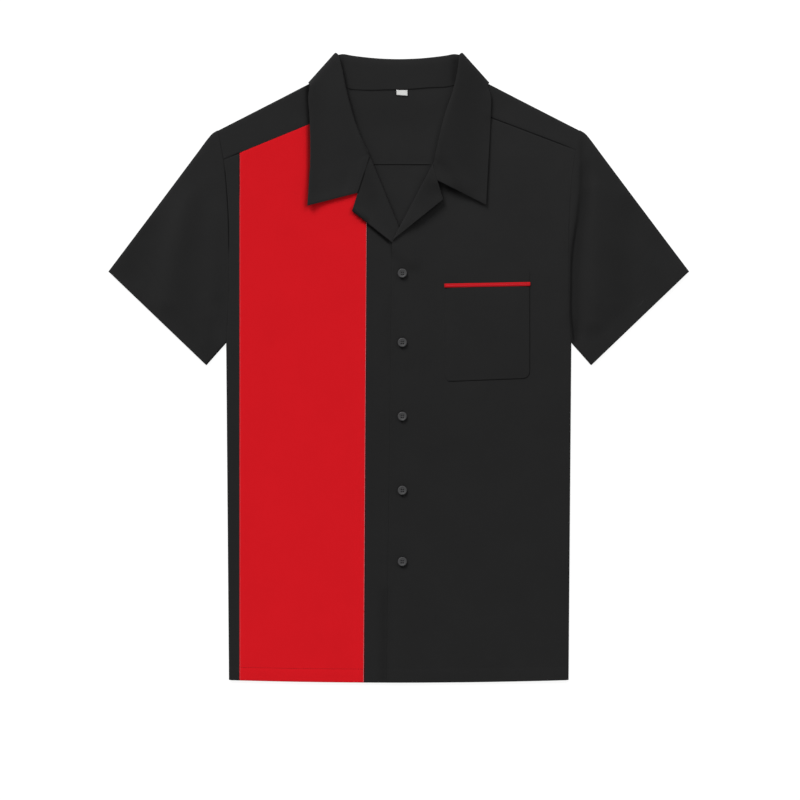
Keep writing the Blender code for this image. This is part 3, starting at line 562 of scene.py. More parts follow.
hemLines = [cutAlong(Vector((0, hemAxisY - math.pi * hem["radius"] * part / 4)), Vector((1, 0)))
            for part in range(5)]
hemLines += [cutAlong(Vector((0, stitchY + offset)), Vector((1, 0)))
             for offset in (-hem["netRoom"], 0, hem["netRoom"])]

# Relief along an outline, by the kind of its run: depth and width of the dip at the seam, height of
# the strip that the seam allowance lifts, pucker, how much painted shade falls in the seam's ditch, and how
# worn the seam is
borderKinds = {
    "seam": {"dip": 0.6, "width": 1.7, "raise": 0, "pucker": 0.16, "paintedShade": 1, "wearAndPaintedLight": 0.3},
    "raised": {"dip": 0.6, "width": 1.7, "raise": 0.3, "pucker": 0.18, "paintedShade": 1, "wearAndPaintedLight": 0.3},
    "fold": {"dip": 0.1, "width": 1.2, "raise": 0, "pucker": 0.1, "paintedShade": 0, "wearAndPaintedLight": 0.1},
    "tucked": {"dip": 0.3, "width": 1.2, "raise": 0, "pucker": 0.12, "paintedShade": 0.9, "wearAndPaintedLight": 0.2},
}
border = {
    "reach": 12,             # nothing of a border shows farther in
    "strip": 7,              # width of the lifted strip, and the way down from it
    "stripEase": 2,
    "puckerReach": 5.5,
    "puckerLength": 5,
    "wornAt": 1.2,           # where the seam is most worn, and how far to both sides
    "wornHalf": 1.1,
    "paintedShadeHalf": 0.3,
    "paintedShadeEase": 0.7,
}
# Where a seam closes up and hardly shows, from x, y to x, y, half width, share that is left
seamFades = [
    (-224, 138, -226, 32, 16, 0),
    (-232, 300, -227, 268, 12, 0.4),
    (234, 306, 222, 36, 14, 0.1),
    (-202, 281, -84, 329, 5, 0.1),
    (59.3, 108, 59.3, -12, 4, 0),
    (46, 266, 50, 243, 7, 0),
    (-40, 277, -44, 262, 7, 0.35),
    (-207, 220, -207, -404, 6, 0.35),
]


def seamShows(point):
    return math.prod(1 - (1 - left) * math.exp(-away ** 4) for away, left in rowsNear(point, seamFades, 3))


def borderOf(outline):
    # the runs of an outline that have relief, with their boxes
    room = Vector((border["reach"], border["reach"]))
    runs = []
    for (start, kind), (end, nextKind) in zip(outline, outline[1:] + outline[:1]):
        if kind in borderKinds:
            low, high = (Vector(map(choose, start, end)) for choose in (min, max))
            runs.append((start, end, borderKinds[kind], low - room, high + room))
    return runs


def borderRelief(point, runs):
    # height above the plain layer, how worn the place is, and how much painted shade falls in the seam's
    # ditch
    near = [(awayFrom(point, start, end), values) for start, end, values, low, high in runs
            if low.x < point.x < high.x and low.y < point.y < high.y]
    if not near:
        return 0, 0, 0
    away, values = min(near, key=lambda item: item[0])
    relief = -values["dip"] * max(0, 1 - away / values["width"]) ** 2
    relief += values["raise"] * (1 - ease((away - border["strip"]) / border["stripEase"]))
    pucker = values["pucker"] * waviness(point, border["puckerLength"], 9)
    relief += pucker * math.exp(-(away / border["puckerReach"]) ** 2)
    worn = values["wearAndPaintedLight"] * max(0, 1 - abs(away - border["wornAt"]) / border["wornHalf"])
    # painted shade in the seam's ditch, fading away from the seam
    return relief, worn, values["paintedShade"] * (1 - ease((away - border["paintedShadeHalf"]) / border["paintedShadeEase"]))


# Making cloth meshes


def cutThrough(bm, point, normal, wanted=None):
    geometry = bm.verts[:] + bm.edges[:] + bm.faces[:]
    if wanted is not None:
        faces = [face for face in bm.faces if wanted(face.calc_center_median().to_2d())]
        geometry = list(dict.fromkeys(item for face in faces for item in [*face.verts, *face.edges])) + faces
    bmesh.ops.bisect_plane(bm, geom=geometry, dist=cloth["merge"] / 2,
                           plane_co=point.to_3d(), plane_no=normal.to_3d())


def cutCloth(outline, lines, cell):
    # an outline becomes one face, gets rows of faces along its edge and is cut into cells
    bm = bmesh.new()
    face = bm.faces.new([bm.verts.new(corner.to_3d()) for corner, kind in outline])
    bm.normal_update()
    if face.normal.z < 0:
        bmesh.ops.reverse_faces(bm, faces=[face])
    area = face.calc_area() * mm * mm
    for width in cloth["seamLoops"]:
        bmesh.ops.inset_region(bm, faces=[face], thickness=width, use_even_offset=True, use_boundary=True)
    for line in lines:
        cutThrough(bm, *line)
    size = []
    for axis in (0, 1):
        low, high = (choose(corner[axis] for corner, kind in outline) for choose in (min, max))
        size.append((high - low) * mm)
        count = max(1, round((high - low) / cell))
        normal = Vector((1 - axis, axis))
        for step in range(1, count):
            cutThrough(bm, normal * (low + (high - low) * step / count), normal)
    bmesh.ops.remove_doubles(bm, verts=bm.verts[:], dist=cloth["merge"])
    wide = [face for face in bm.faces if len(face.verts) > 4]
    bmesh.ops.triangulate(bm, faces=wide, quad_method="BEAUTY", ngon_method="BEAUTY")
    return bm, size, area


seamRuns = {}


def reliefAt(point, runs, place):
    relief, worn, deep = borderRelief(point, runs)
    share = seamShows(place(point).to_2d()) if relief or deep else 1
    return relief * share, worn, deep * share


def surfaceOf(node, place):
    # where a point of a finished piece lies, with its seam relief
    return lambda point: place(point, reliefAt(point, seamRuns[node], place)[0])


def giveWall(piece, thickness, single=None):
    wall = piece.modifiers.new("wall", "SOLIDIFY")
    wall.thickness = thickness * mm
    wall.offset = 0
    if single is not None:
        wall.vertex_group = "double"
        wall.thickness_vertex_group = single / thickness


def toObject(bm, name, material):
    bmesh.ops.scale(bm, vec=Vector((mm, mm, mm)), verts=bm.verts[:])
    mesh = bpy.data.meshes.new(name)
    bm.to_mesh(mesh)
    bm.free()
    mesh.shade_smooth()
    mesh.materials.append(bpy.data.materials[material])
    piece = bpy.data.objects.new(name, mesh)
    bpy.context.scene.collection.objects.link(piece)
    return piece


def onShirt(piece, node=None):
    # every piece rides on the one body, and most of them stand for a solid
    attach(piece, "root")
    if node:
        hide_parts(node)
    return piece


def laidOut(piece, node, size, area):
    onShirt(piece, node)
    print("made", piece.name, len(piece.data.polygons), "faces")
    return piece


def clothLayers(bm):
    # where the cloth is in its flat cut, how worn it is together with the light painted on it, and how much
    # painted shade it gets
    floats = bm.verts.layers.float
    return bm.loops.layers.uv.new("cut"), floats.new("wearAndPaintedLight"), floats.new("paintedShade")


def foldShares(folds, point):
    # the strength of each fold, less beside its middle
    shares = []
    for roll, strength in folds:
        share, beyond = roll.split(point)
        middle = math.pi * roll.radiusAt(share) / 2
        shares.append(strength * max(0, 1 - abs(beyond - middle) / (middle + 1)) if share >= 0 else 0)
    return shares


def clothPiece(name, node, outline, place, lines=(), material="blackCloth", cell=None,
               wall=None, isDouble=None, wornFolds=(), paintedShadeFolds=()):
    # cuts, folds and thickens one flat piece of cloth
    bm, size, area = cutCloth(outline, lines, cell or cloth["cell"])
    cut, wearAndPaintedLight, paintedShade = clothLayers(bm)
    weights = bm.verts.layers.deform.verify() if isDouble else None
    runs = seamRuns[node] = borderOf(outline)
    for face in bm.faces:
        for loop in face.loops:
            loop[cut].uv = loop.vert.co.xy * mm
    for vert in bm.verts:
        point = vert.co.to_2d()
        relief, worn, deep = reliefAt(point, runs, place)
        vert.co = place(point, relief)
        # painted shade and painted light from the table on top go in with the wear and with the seams'
        # painted shade
        darker, paler = paintedShadingAt(vert.co, paintedShadingOnTop, layers["edgeRadius"])
        vert[wearAndPaintedLight] = max([worn, paler] + foldShares(wornFolds, point))
        vert[paintedShade] = max([deep, darker] + foldShares(paintedShadeFolds, point))
        if isDouble:
            vert[weights][0] = 1 if isDouble(point) else 0
    piece = toObject(bm, name, material)
    thickness = wall or cloth["wall"]
    if isDouble:
        piece.vertex_groups.new(name="double")
        giveWall(piece, thickness * cloth["double"], thickness)
    else:
        giveWall(piece, thickness)
    return laidOut(piece, node, size, area)


# Stitches: one small lens, copied along rows

stitch = {
    "length": 2.5,
    "pitch": 3.1,
    "width": 0.46,
    "height": 0.34,
    "sink": 0.02,            # how far a stitch lies in the cloth
}


def stitchTemplate():
    bm = bmesh.new()
    bmesh.ops.create_uvsphere(bm, u_segments=6, v_segments=3, radius=0.5)
    bmesh.ops.rotate(bm, verts=bm.verts[:], cent=(0, 0, 0), matrix=Matrix.Rotation(math.pi / 2, 3, "Y"))
    mesh = bpy.data.meshes.new("stitchTemplate")
    bm.to_mesh(mesh)
    bm.free()
    return mesh


def resample(points, pitch):
    # places at even steps along a line of points
    spots, left = [], pitch / 2
    for start, end in zip(points, points[1:]):
        length = (end - start).length
        while left <= length:
            spots.append((start.lerp(end, left / max(length, 1e-6)), (end - start).normalized()))
            left += pitch
        left -= length
    return spots


class Sewing:
    # collects the stitches of one thread in one mesh

    def __init__(self, name, material):
        self.name = name
        self.material = material
        self.bm = bmesh.new()
        self.template = stitchTemplate()
        self.count = 0

    def lay(self, spot, along, up, length, width, height):
        across = up.cross(along).normalized()
        up = along.cross(across).normalized()
        turn = Matrix((along, across, up)).transposed().to_4x4()
        form = Matrix.Diagonal((length, width, height, 1))
        matrix = Matrix.Translation(spot) @ turn @ form
        mesh = self.template
        mesh.transform(matrix)
        self.bm.from_mesh(mesh)
        mesh.transform(matrix.inverted())
        self.count += 1

    def row(self, points, up=Vector((0, 0, 1)), rise=cloth["wall"] / 2 - stitch["sink"],
            pitch=stitch["pitch"], length=stitch["length"], width=stitch["width"]):
        for spot, along in resample(points, pitch):
            self.lay(spot + up * rise, along, up, length, width, stitch["height"])

    def seam(self, place, points, step=2, **kind):
        self.row([place(point) for point in finely(points, step)], **kind)

    def finish(self):
        piece = toObject(self.bm, self.name, self.material)
        bpy.data.meshes.remove(self.template)
        print("sewed", self.name, self.count, "stitches")
        return onShirt(piece)


def finely(points, step):
    spots = []
    for start, end in zip(points, points[1:]):
        count = max(1, round((end - start).length / step))
        spots += [start.lerp(end, part / count) for part in range(count)]
    return spots + [points[-1]]


# Materials

looks = {
    "weavePitch": 0.00042,   # metres from thread to thread
    "tapePitch": 0.00025,
    "slubLength": 0.02,
    "mottleScale": 16,
    "paintedLightHeights": (-0.12, 0.3),
    "wearAndLightLift": 0.35,
    "buttonDark": (0.03, 0.03, 0.031),
    "buttonLight": (0.048, 0.048, 0.049),
}
# slot, dark and light tone, roughness, specular, sheen, pitch of the weave, painted light on the top towards
# the shoulders
cloths = {
    "blackCloth": ("black_cloth", (0.0108, 0.0108, 0.0109), (0.0148, 0.0148, 0.0149), 0.9, 0.08, 0.02,
                   looks["weavePitch"], 0.17),
    "redCloth": ("red_cloth", (0.505, 0.004, 0.0084), (0.567, 0.0052, 0.0104), 0.9, 0.1, 0.01,
                 looks["weavePitch"], 0),
    # the red cloth again, painted darker as shade on the piping
    "shadedPipingCloth": ("red_cloth", (0.37, 0.005, 0.008), (0.46, 0.0065, 0.0105), 0.9, 0.1, 0.01,
                    looks["weavePitch"], 0),
    "paleTape": ("pale_tape", (0.5, 0.5, 0.49), (0.6, 0.6, 0.59), 0.7, 0.3, 0.05, looks["tapePitch"], 0),
}
# slot, colour, roughness
threads = {
    "blackThread": ("black_cloth", (0.011, 0.011, 0.0112), 0.7),
    "buttonThread": ("black_cloth", (0.014, 0.014, 0.0145), 0.7),
    "redThread": ("red_cloth", (0.16, 0.002, 0.004), 0.7),
    # pale pink thread; its stitches along the piping paint the piping's highlight
    "pipingHighlightThread": ("red_cloth", (0.56, 0.045, 0.07), 0.6),
    # very dark thread for the line beside the pocket's mouth, a painted shadow
    "shadeLineThread": ("black_cloth", (0.0035, 0.0035, 0.0036), 0.8),
    "panelThread": ("red_cloth", (0.36, 0.12, 0.13), 0.6),
    "paleThread": ("pale_tape", (0.5, 0.5, 0.49), 0.6),
}


def feed(tree, socket, value):
    # with a link, a number or a colour
    if isinstance(value, bpy.types.NodeSocket):
        tree.links.new(value, socket)
    else:
        socket.default_value = (*value, 1) if socket.type == "RGBA" else value


def addNode(tree, kind, inputs, **settings):
    made = tree.nodes.new("ShaderNode" + kind)
    for name, value in settings.items():
        setattr(made, name, value)
    for label, value in inputs.items():
        feed(tree, made.inputs[label], value)
    return made.outputs


def addMath(tree, operation, *values):
    return addNode(tree, "Math", dict(enumerate(values)), operation=operation)[0]


def addMix(tree, factor, first, second, blend="MIX"):
    return addNode(tree, "Mix", {0: factor, 6: first, 7: second}, data_type="RGBA", blend_type=blend)[2]


def addNoise(tree, vector, scale, detail):
    return addNode(tree, "TexNoise", {"Vector": vector, "Scale": scale, "Detail": detail})["Fac"]


def newGroup(name, inputs, outputs):
    # inputs with their values (none for a vector), outputs with their kinds
    group = bpy.data.node_groups.new(name, "ShaderNodeTree")
    for label, value in inputs.items():
        kind = "Vector" if value is None else "Color" if isinstance(value, tuple) else "Float"
        made = group.interface.new_socket(name=label, in_out="INPUT", socket_type="NodeSocket" + kind)
        if value is not None:
            made.default_value = value
    for label, kind in outputs.items():
        group.interface.new_socket(name=label, in_out="OUTPUT", socket_type="NodeSocket" + kind)
    return group, group.nodes.new("NodeGroupInput").outputs, group.nodes.new("NodeGroupOutput").inputs


def weaveGroup():
    # plain weave: threads over and under each other, with uneven yarn
    group, inside, outside = newGroup("plainWeave", {"Vector": None, "Pitch": 0.0004, "Unevenness": 0.3},
                                      {"Height": "Float", "Thread": "Float"})

    def combine(operation, *values):
        return addMath(group, operation, *values)

    parts = addNode(group, "SeparateXYZ", {0: inside["Vector"]})
    drift = combine("MULTIPLY", addNoise(group, inside["Vector"], 420, 1), inside["Unevenness"])
    threads = [combine("ADD", combine("DIVIDE", parts[axis], inside["Pitch"]), drift) for axis in ("X", "Y")]
    warp, weft = (combine("ABSOLUTE", combine("SINE", combine("MULTIPLY", thread, math.pi)))
                  for thread in threads)
    over = combine("FLOORED_MODULO", combine("ADD", *(combine("FLOOR", thread) for thread in threads)), 2)
    under = combine("SUBTRACT", 1, over)
    height = combine("ADD", combine("MULTIPLY", warp, over), combine("MULTIPLY", weft, under))
    feed(group, outside["Height"], height)
    # thicker and thinner threads, as long streaks both ways
    fine, coarse = 1 / looks["weavePitch"] / 2.2, 1 / looks["slubLength"]
    streaks = []
    for stretch in ((fine, coarse, 1), (coarse, fine, 1)):
        scaled = addNode(group, "VectorMath", {0: inside["Vector"], 1: stretch}, operation="MULTIPLY")
        streaks.append(addNoise(group, scaled[0], 1, 1))
    feed(group, outside["Thread"], combine("MULTIPLY", combine("ADD", *streaks), 0.5))
    return group


def toneGroup():
    # colour of dyed cloth: soft mottling, thread streaks, paler worn edges, painted light and a painted
    # lighter top, and painted shade
    group, inside, outside = newGroup("dyedToneAndPaintedShading", {
        "Vector": None, "Dark": (0.1, 0.1, 0.1, 1), "Light": (0.2, 0.2, 0.2, 1), "Thread": 0.5, "WearAndPaintedLight": 0,
        "Wear Lift": 0.3, "PaintedShade": 0, "Fade": 0}, {"Color": "Color"})

    def times(*values):
        return addMath(group, "MULTIPLY", *values)

    def brighter(color, share):
        return addMix(group, 1, color, (share, share, share), "MULTIPLY")

    mottle = addNoise(group, inside["Vector"], looks["mottleScale"], 3)
    mixed = addMath(group, "ADD", times(mottle, 0.55), times(inside["Thread"], 0.45))
    color = addMix(group, mixed, inside["Dark"], inside["Light"])
    # painted lighter towards the shoulders, standing for light that falls stronger there
    parts = addNode(group, "SeparateXYZ", {0: inside["Vector"]})
    low, high = looks["paintedLightHeights"]
    height = addNode(group, "MapRange", {"Value": parts["Y"], "From Min": low, "From Max": high},
                     interpolation_type="SMOOTHSTEP")
    color = addMix(group, times(height["Result"], inside["Fade"]), color, brighter(color, 2))
    # paler where worn and where light is painted, then darker where shade is painted
    worn = times(times(inside["WearAndPaintedLight"], addNoise(group, inside["Vector"], 900, 2)), inside["Wear Lift"])
    color = addMix(group, worn, color, brighter(color, 2.2))
    feed(group, outside["Color"], addMix(group, inside["PaintedShade"], color, brighter(color, 0.22)))
    return group


def newMaterial(name, slot, roughness, specular):
    material = bpy.data.materials.new(name)
    material.use_nodes = True
    shader = material.node_tree.nodes["Principled BSDF"]
    shader.inputs["Roughness"].default_value = roughness
    shader.inputs["Specular IOR Level"].default_value = specular
    return material.node_tree, shader


def addBump(tree, shader, height, distance, strength):
    bump = addNode(tree, "Bump", {"Distance": distance, "Strength": strength, "Height": height})
    feed(tree, shader.inputs["Normal"], bump["Normal"])


weave = weaveGroup()
tone = toneGroup()


def clothMaterial(name, slot, dark, light, roughness, specular, sheen, pitch, paintedTopLight):
    tree, shader = newMaterial(name, slot, roughness, specular)
    shader.inputs["Sheen Weight"].default_value = sheen
    shader.inputs["Sheen Roughness"].default_value = 0.45
    place = addNode(tree, "TexCoord", {})
    worn, deep = (addNode(tree, "Attribute", {}, attribute_name=layer)["Fac"] for layer in ("wearAndPaintedLight", "paintedShade"))
    woven = addNode(tree, "Group", {"Vector": place["UV"], "Pitch": pitch, "Unevenness": 0.35},
                    node_tree=weave)
    toned = addNode(tree, "Group", {
        "Vector": place["Object"], "Dark": dark, "Light": light, "Thread": woven["Thread"], "WearAndPaintedLight": worn,
        "Wear Lift": looks["wearAndLightLift"], "PaintedShade": deep, "Fade": paintedTopLight}, node_tree=tone)
    feed(tree, shader.inputs["Base Color"], toned["Color"])
    addBump(tree, shader, woven["Height"], 0.00008, 0.45)


def threadMaterial(name, slot, color, roughness):
    tree, shader = newMaterial(name, slot, roughness, 0.12)
    place = addNode(tree, "TexCoord", {})["Object"]
    dark, light = (tuple(part * share for part in color) for share in (0.75, 1.25))
    feed(tree, shader.inputs["Base Color"], addMix(tree, addNoise(tree, place, 700, 1), dark, light))
    # the twist of the thread
    twist = addNode(tree, "TexWave", {"Vector": place, "Scale": 900}, bands_direction="DIAGONAL")
    addBump(tree, shader, twist["Fac"], 0.00005, 0.5)


def buttonMaterial():
    tree, shader = newMaterial("greyButton", "grey_button", 0.45, 0.3)
    place = addNode(tree, "TexCoord", {})["Object"]
    cloud = addMix(tree, addNoise(tree, place, 260, 3), looks["buttonDark"], looks["buttonLight"])
    feed(tree, shader.inputs["Base Color"], cloud)
    scratch = addNoise(tree, place, 1400, 2)
    feed(tree, shader.inputs["Roughness"], addMath(tree, "ADD", addMath(tree, "MULTIPLY", scratch, 0.2), 0.4))
    addBump(tree, shader, scratch, 0.00003, 0.3)


for name, values in cloths.items():
    clothMaterial(name, *values)
for name, values in threads.items():
    threadMaterial(name, *values)
buttonMaterial()
print("materials made")

# Outlines, each corner with the kind of the run that starts there


def armholeRun(yFrom, yTo, sign):
    heights = [yFrom] + [y for y, half in body["armhole"] if yFrom + 1 < y < yTo - 1] + [yTo]
    return [Vector((armholeHalf(y) * sign, y)) for y in heights]


def sideHalf(y):
    share = (y - body["hemY"]) / (body["underarm"].y - body["hemY"])
    return body["hemHalf"] + (body["underarm"].x - body["hemHalf"]) * share - cloth["wall"] / 2


def sideCorners():
    # from the side seam's lower end, with the turned-up hem, to the underarm
    foot = sideHalf(hemAxisY)
    inner = foot - hem["sideRoom"]
    top = body["underarm"].y
    return [(Vector((inner, hemLow)), "fold"), (Vector((inner, hemAxisY - hem["cornerRoom"])), "fold"),
            (Vector((foot, hemAxisY)), "side"), (Vector((sideHalf(top), top)), "seam")]


def sideCuts(sign):
    inward = (body["underarm"] - sideFoot).normalized().orthogonal()
    run = layers["edgeRadius"] - cloth["wall"] / 2
    lines = []
    for degrees in (18, 36, 54, 72, 90):
        distance = cloth["wall"] / 2 + run * (1 - math.cos(math.radians(degrees)))
        lines.append((mirrored(body["underarm"] + inward * distance, sign), mirrored(inward, sign), None))
    return lines


neck = {
    # seam x, seam y, roll x, roll y, edge x, edge y, roll radius, lift
    "right": [(-86.4, 362, -74.3, 391.2, -117.6, 352, 1.9, 0),
              (-84.2, 348.1, -68.1, 363.9, -116.2, 330, 2.2, 0.1),
              (-76.4, 326.5, -59.5, 331.1, -115, 298, 2.2, 0.3),
              (-63.5, 301.6, -51, 305.5, -115.2, 262, 1.9, 0.6)],
    "left": [(86.4, 362, 77.4, 391.7, 119.6, 352, 1.9, 0),
             (84.2, 348.1, 71.2, 363.9, 119.4, 330, 2.2, 0.2),
             (76.4, 326.5, 60.2, 331.1, 118, 298, 2.4, 0.6),
             (64.5, 298, 52.3, 300.5, 116, 262, 2.2, 1.3)],
    # half width and y of the back neck seam
    "back": [(0, 361.2), (19, 361.2), (38, 361.2), (62, 362.6), (76, 367.6), (84, 374.6)],
    # where the back neck seam lies a little aslant: middle x, half width, height
    "tilt": [(48, 27, 3), (-50, 24, -0.9)],
}
yokeSeams = {
    "right": (Vector((-227.8, 270.6)), Vector((-78.6, 331.8))),
    "left": (Vector((229.8, 283)), Vector((81.4, 339.6))),
}
# more rows of faces, where a shade is narrow
nets = {
    "shadeX": (-113, -115, -116.5, -118, -119.5, -121, -122.5, -124, -126),
    "shadeTop": 380,
    "shadeBottom": 200,
    "shadeLean": 2,
    "shadeLowest": 190,
    "lapelReach": 34,
    # distances from a line
    "lapel": (-4, -2.5, -1.2, 0, 1.2, 2.5, 4),
    "edge": (-3, -2, -1, 0, 1, 2, 3),
    "notch": (-6, -4, -2, 0, 2, 4, 6),
}
panels = {
    "stripSeamX": -207,
    "panelSeamTop": Vector((-40.9, 277.7)),
    "panelSeamHemX": -45,
    "rightEdgeHemX": 22,
    "leftEdgeHemX": -15.9,
}


def seamTilt(x):
    return sum(height * math.exp(-((x - middle) / width) ** 2) for middle, width, height in neck["tilt"])


def neckFront(side):
    return [Vector(row[:2]) for row in neck[side]]


def withKind(points, kind):
    return [(point, kind) for point in points]


def comingDown(corners, last):
    # the same corners on the other side from the top, each run with the kind that it has going up
    kinds = [last] + [kind for corner, kind in corners]
    return [(mirrored(corner, -1), kind) for (corner, before), kind in zip(corners, kinds)][::-1]


def aboveFloor(height, wall):
    # what lies on the floor is pressed flat there
    return max(height, wall / 2)


def settled(spot, relief):
    return Vector((spot.x, spot.y, aboveFloor(spot.z + relief - plySettle, cloth["wall"])))


def placeBack(point, relief=0):
    return settled(placeWithHem(point, lambda p: Vector((*p, lowerLayer(p))), 1), -relief)


def placeRightPanel(point, relief=0):
    return settled(placeWithHem(point, lambda p: Vector((*p, upperLayer(p))), -1), relief)


def placeTurning(point, relief, roll, layer):
    spot = placeWithHem(point, roll.place, -1)
    return settled(spot, turnedLift(spot, layer) - relief if roll.isTurned(point) else relief)


def placePlacket(point, relief=0):
    return placeTurning(point, relief, rightRoll, upperLayer)


def placeLeftFront(point, relief=0):
    return placeTurning(point, relief, leftRoll, leftFrontLayer)


def placeYoke(point, relief=0):
    roll = shoulderRolls[1 if point.x > 0 else -1]
    spot = roll.place(point)
    share, beyond = roll.split(point)
    if beyond > math.pi * shoulderBend:
        spot.z = upperLayer(spot.to_2d())
        return settled(spot, relief)
    return settled(spot, -relief if beyond < 0 else 0)


def makeBack():
    right = sideCorners() + withKind(armholeRun(body["underarm"].y, body["yokeBackY"], 1)[1:-1], "seam")
    right.append((Vector((armholeHalf(body["yokeBackY"]), body["yokeBackY"])), "raised"))
    return clothPiece("backBody", "back_body", right + comingDown(right, "fold"), placeBack,
                      sideCuts(1) + sideCuts(-1) + hemLines)


def yokeHalf(side, sign):
    roll = shoulderRolls[sign]
    seamArm, seamNeck = yokeSeams[side]
    frontArm = armholeRun(seamArm.y, shoulder["tipY"], sign)
    axisNeck = mirrored(shoulder["axis"], sign)
    frontNeck = [point for point in neckFront(side) if point.y > seamNeck.y + 1]
    corners = withKind(armholeRun(body["yokeBackY"], shoulder["tipY"], sign), "seam")
    corners += withKind([roll.unfold(point) for point in frontArm[:0:-1]], "seam")
    corners.append((roll.unfold(frontArm[0]), "raised"))
    turned = [roll.unfold(point) for point in [seamNeck] + frontNeck[::-1] + [axisNeck]]
    back = [Vector((half * sign, y + seamTilt(half * sign))) for half, y in neck["back"][:0:-1]]
    return corners + withKind(turned + [axisNeck] + back, "seam")


def makeYoke():
    left = [(mirrored(corner, -1), kind) for corner, kind in yokeHalf("right", -1)]
    outline = yokeHalf("left", 1) + [(Vector((0, neck["back"][0][1])), "seam")] + comingDown(left, "raised")
    lines = [cutAlong(Vector((0, 0)), Vector((0, -1)))]
    for sign, roll in shoulderRolls.items():
        lines += roll.cuts(8, lambda center, sign=sign: center.x * sign > 0)
    lines += shadeCuts(lambda center: center.x < 0 and roll.split(center)[1] > 0, roll.unfold)
    return clothPiece("backYoke", "yoke", outline, placeYoke, lines,
                      wornFolds=[(roll, 0.5) for roll in shoulderRolls.values()])


def shadeCuts(wanted, turn=lambda point: point):
    # more rows of faces where the collar's shade falls, as they are seen
    ends = [(turn(Vector((x, nets["shadeTop"]))), turn(Vector((x - nets["shadeLean"], nets["shadeBottom"]))))
            for x in nets["shadeX"]]
    return [cutAlong(start, end - start, wanted) for start, end in ends]


def bandCuts(start, end, steps, wanted=None):
    # rows of faces along a line
    across = (end - start).normalized().orthogonal()
    return [(start + across * step, across, wanted) for step in steps]


def yokeSeamAt(x):
    arm, neckEnd = yokeSeams["right"]
    return arm.lerp(neckEnd, (x - arm.x) / (neckEnd.x - arm.x))


def makeSideStrip():
    seamX = panels["stripSeamX"]
    outline = [(Vector((seamX, hemLow)), "seam"), (yokeSeamAt(seamX), "seam")]
    outline += withKind(armholeRun(body["underarm"].y, yokeSeams["right"][0].y, -1)[:0:-1], "seam")
    outline += comingDown(sideCorners(), "fold")
    return clothPiece("sideStrip", "side_strip", outline, placeRightPanel, sideCuts(-1) + hemLines)


def makeRedPanel():
    seamX, lapel, seamNeck = panels["stripSeamX"], lapels["right"], yokeSeams["right"][1]
    outline = [(Vector((seamX, hemLow)), "fold"), (Vector((panels["panelSeamHemX"], hemLow)), "raised"),
               (panels["panelSeamTop"], "seam")]
    outline += withKind([point for point in neckFront("right")[::-1] if point.y < seamNeck.y - 1], "seam")
    outline += [(seamNeck, "seam"), (yokeSeamAt(seamX), "raised")]
    lines = hemLines + shadeCuts(lambda center: center.y > nets["shadeLowest"])
    lines += bandCuts(lapel["corner"], lapel["corner"] * 2 - lapel["breakPoint"], nets["lapel"],
                      lambda center: (center - lapel["corner"]).length < nets["lapelReach"])
    return clothPiece("redPanel", "red_panel", outline, placeRightPanel, lines, "redCloth")


def makePlacket():
    lapel = lapels["right"]
    outline = withKind([Vector((panels["panelSeamHemX"], hemLow)), Vector((panels["rightEdgeHemX"], hemLow)),
                        lapel["breakPoint"], rightRoll.unfold(lapel["corner"])], "fold")
    outline += withKind([rightRoll.unfold(lapel["notch"]), lapel["rollTop"], panels["panelSeamTop"]], "seam")
    lines = rightRoll.cuts(8) + hemLines
    lines += bandCuts(Vector(edgeLine[:2]), Vector(edgeLine[2:]), nets["edge"])
    # painted shade along the lapel's roll
    return clothPiece("placketRight", "placket_right", outline, placePlacket, lines,
                      isDouble=lambda point: rightRoll.split(point)[1] > 0, paintedShadeFolds=[(rightRoll, 0.2)])


def makeLeftFront():
    lapel = lapels["left"]
    arm, neckEnd = yokeSeams["left"]
    neckPoints = [point for point in neckFront("left") if point.y < neckEnd.y - 1]
    outline = [(Vector((panels["leftEdgeHemX"], hemLow)), "fold")] + sideCorners()
    outline += withKind(armholeRun(body["underarm"].y, arm.y, 1)[1:] + [neckEnd] + neckPoints, "seam")
    outline.append((lapel["rollTop"], "seam"))
    outline += withKind([leftRoll.unfold(lapel["notch"]), leftRoll.unfold(lapel["corner"]),
                         lapel["breakPoint"]], "fold")
    lines = sideCuts(1) + leftRoll.cuts(8) + hemLines
    lines += bandCuts(Vector(notchLine[:2]), Vector(notchLine[2:]), nets["notch"])
    return clothPiece("frontLeft", "front_left", outline, placeLeftFront, lines,
                      isDouble=lambda point: leftRoll.split(point)[1] > 0, wornFolds=[(leftRoll, 0.1)])


# Lofted cloth: rows of points that follow smooth curves


def curveThrough(points, steps, closed=False):
    # a curve through all points, with its knots spaced by their distances so that it never overshoots
    count = len(points)
    made = []
    for index in range(count if closed else count - 1):
        first, second = points[index], points[(index + 1) % count]
        before = points[index - 1] if index > 0 or closed else first * 2 - second
        after = points[(index + 2) % count] if index + 2 < count or closed else second * 2 - first
        spans = ((before, first), (first, second), (second, after))
        knots = [0]
        for low, high in spans:
            knots.append(knots[-1] + max(1e-4, (high - low).length ** 0.5))
        for step in range(steps[index]):
            t = knots[1] + (knots[2] - knots[1]) * step / steps[index]
            a = [low.lerp(high, (t - knots[k]) / (knots[k + 1] - knots[k]))
                 for k, (low, high) in enumerate(spans)]
            b = [a[k].lerp(a[k + 1], (t - knots[k]) / (knots[k + 2] - knots[k])) for k in range(2)]
            made.append(b[0].lerp(b[1], (t - knots[1]) / (knots[2] - knots[1])))
    return made if closed else made + [points[-1].copy()]


def refineNet(rows, alongSteps, acrossSteps, closed=False):
    fine = [curveThrough(row, acrossSteps, closed) for row in rows]
    columns = [curveThrough([row[j] for row in fine], alongSteps) for j in range(len(fine[0]))]
    return [list(row) for row in zip(*columns)]


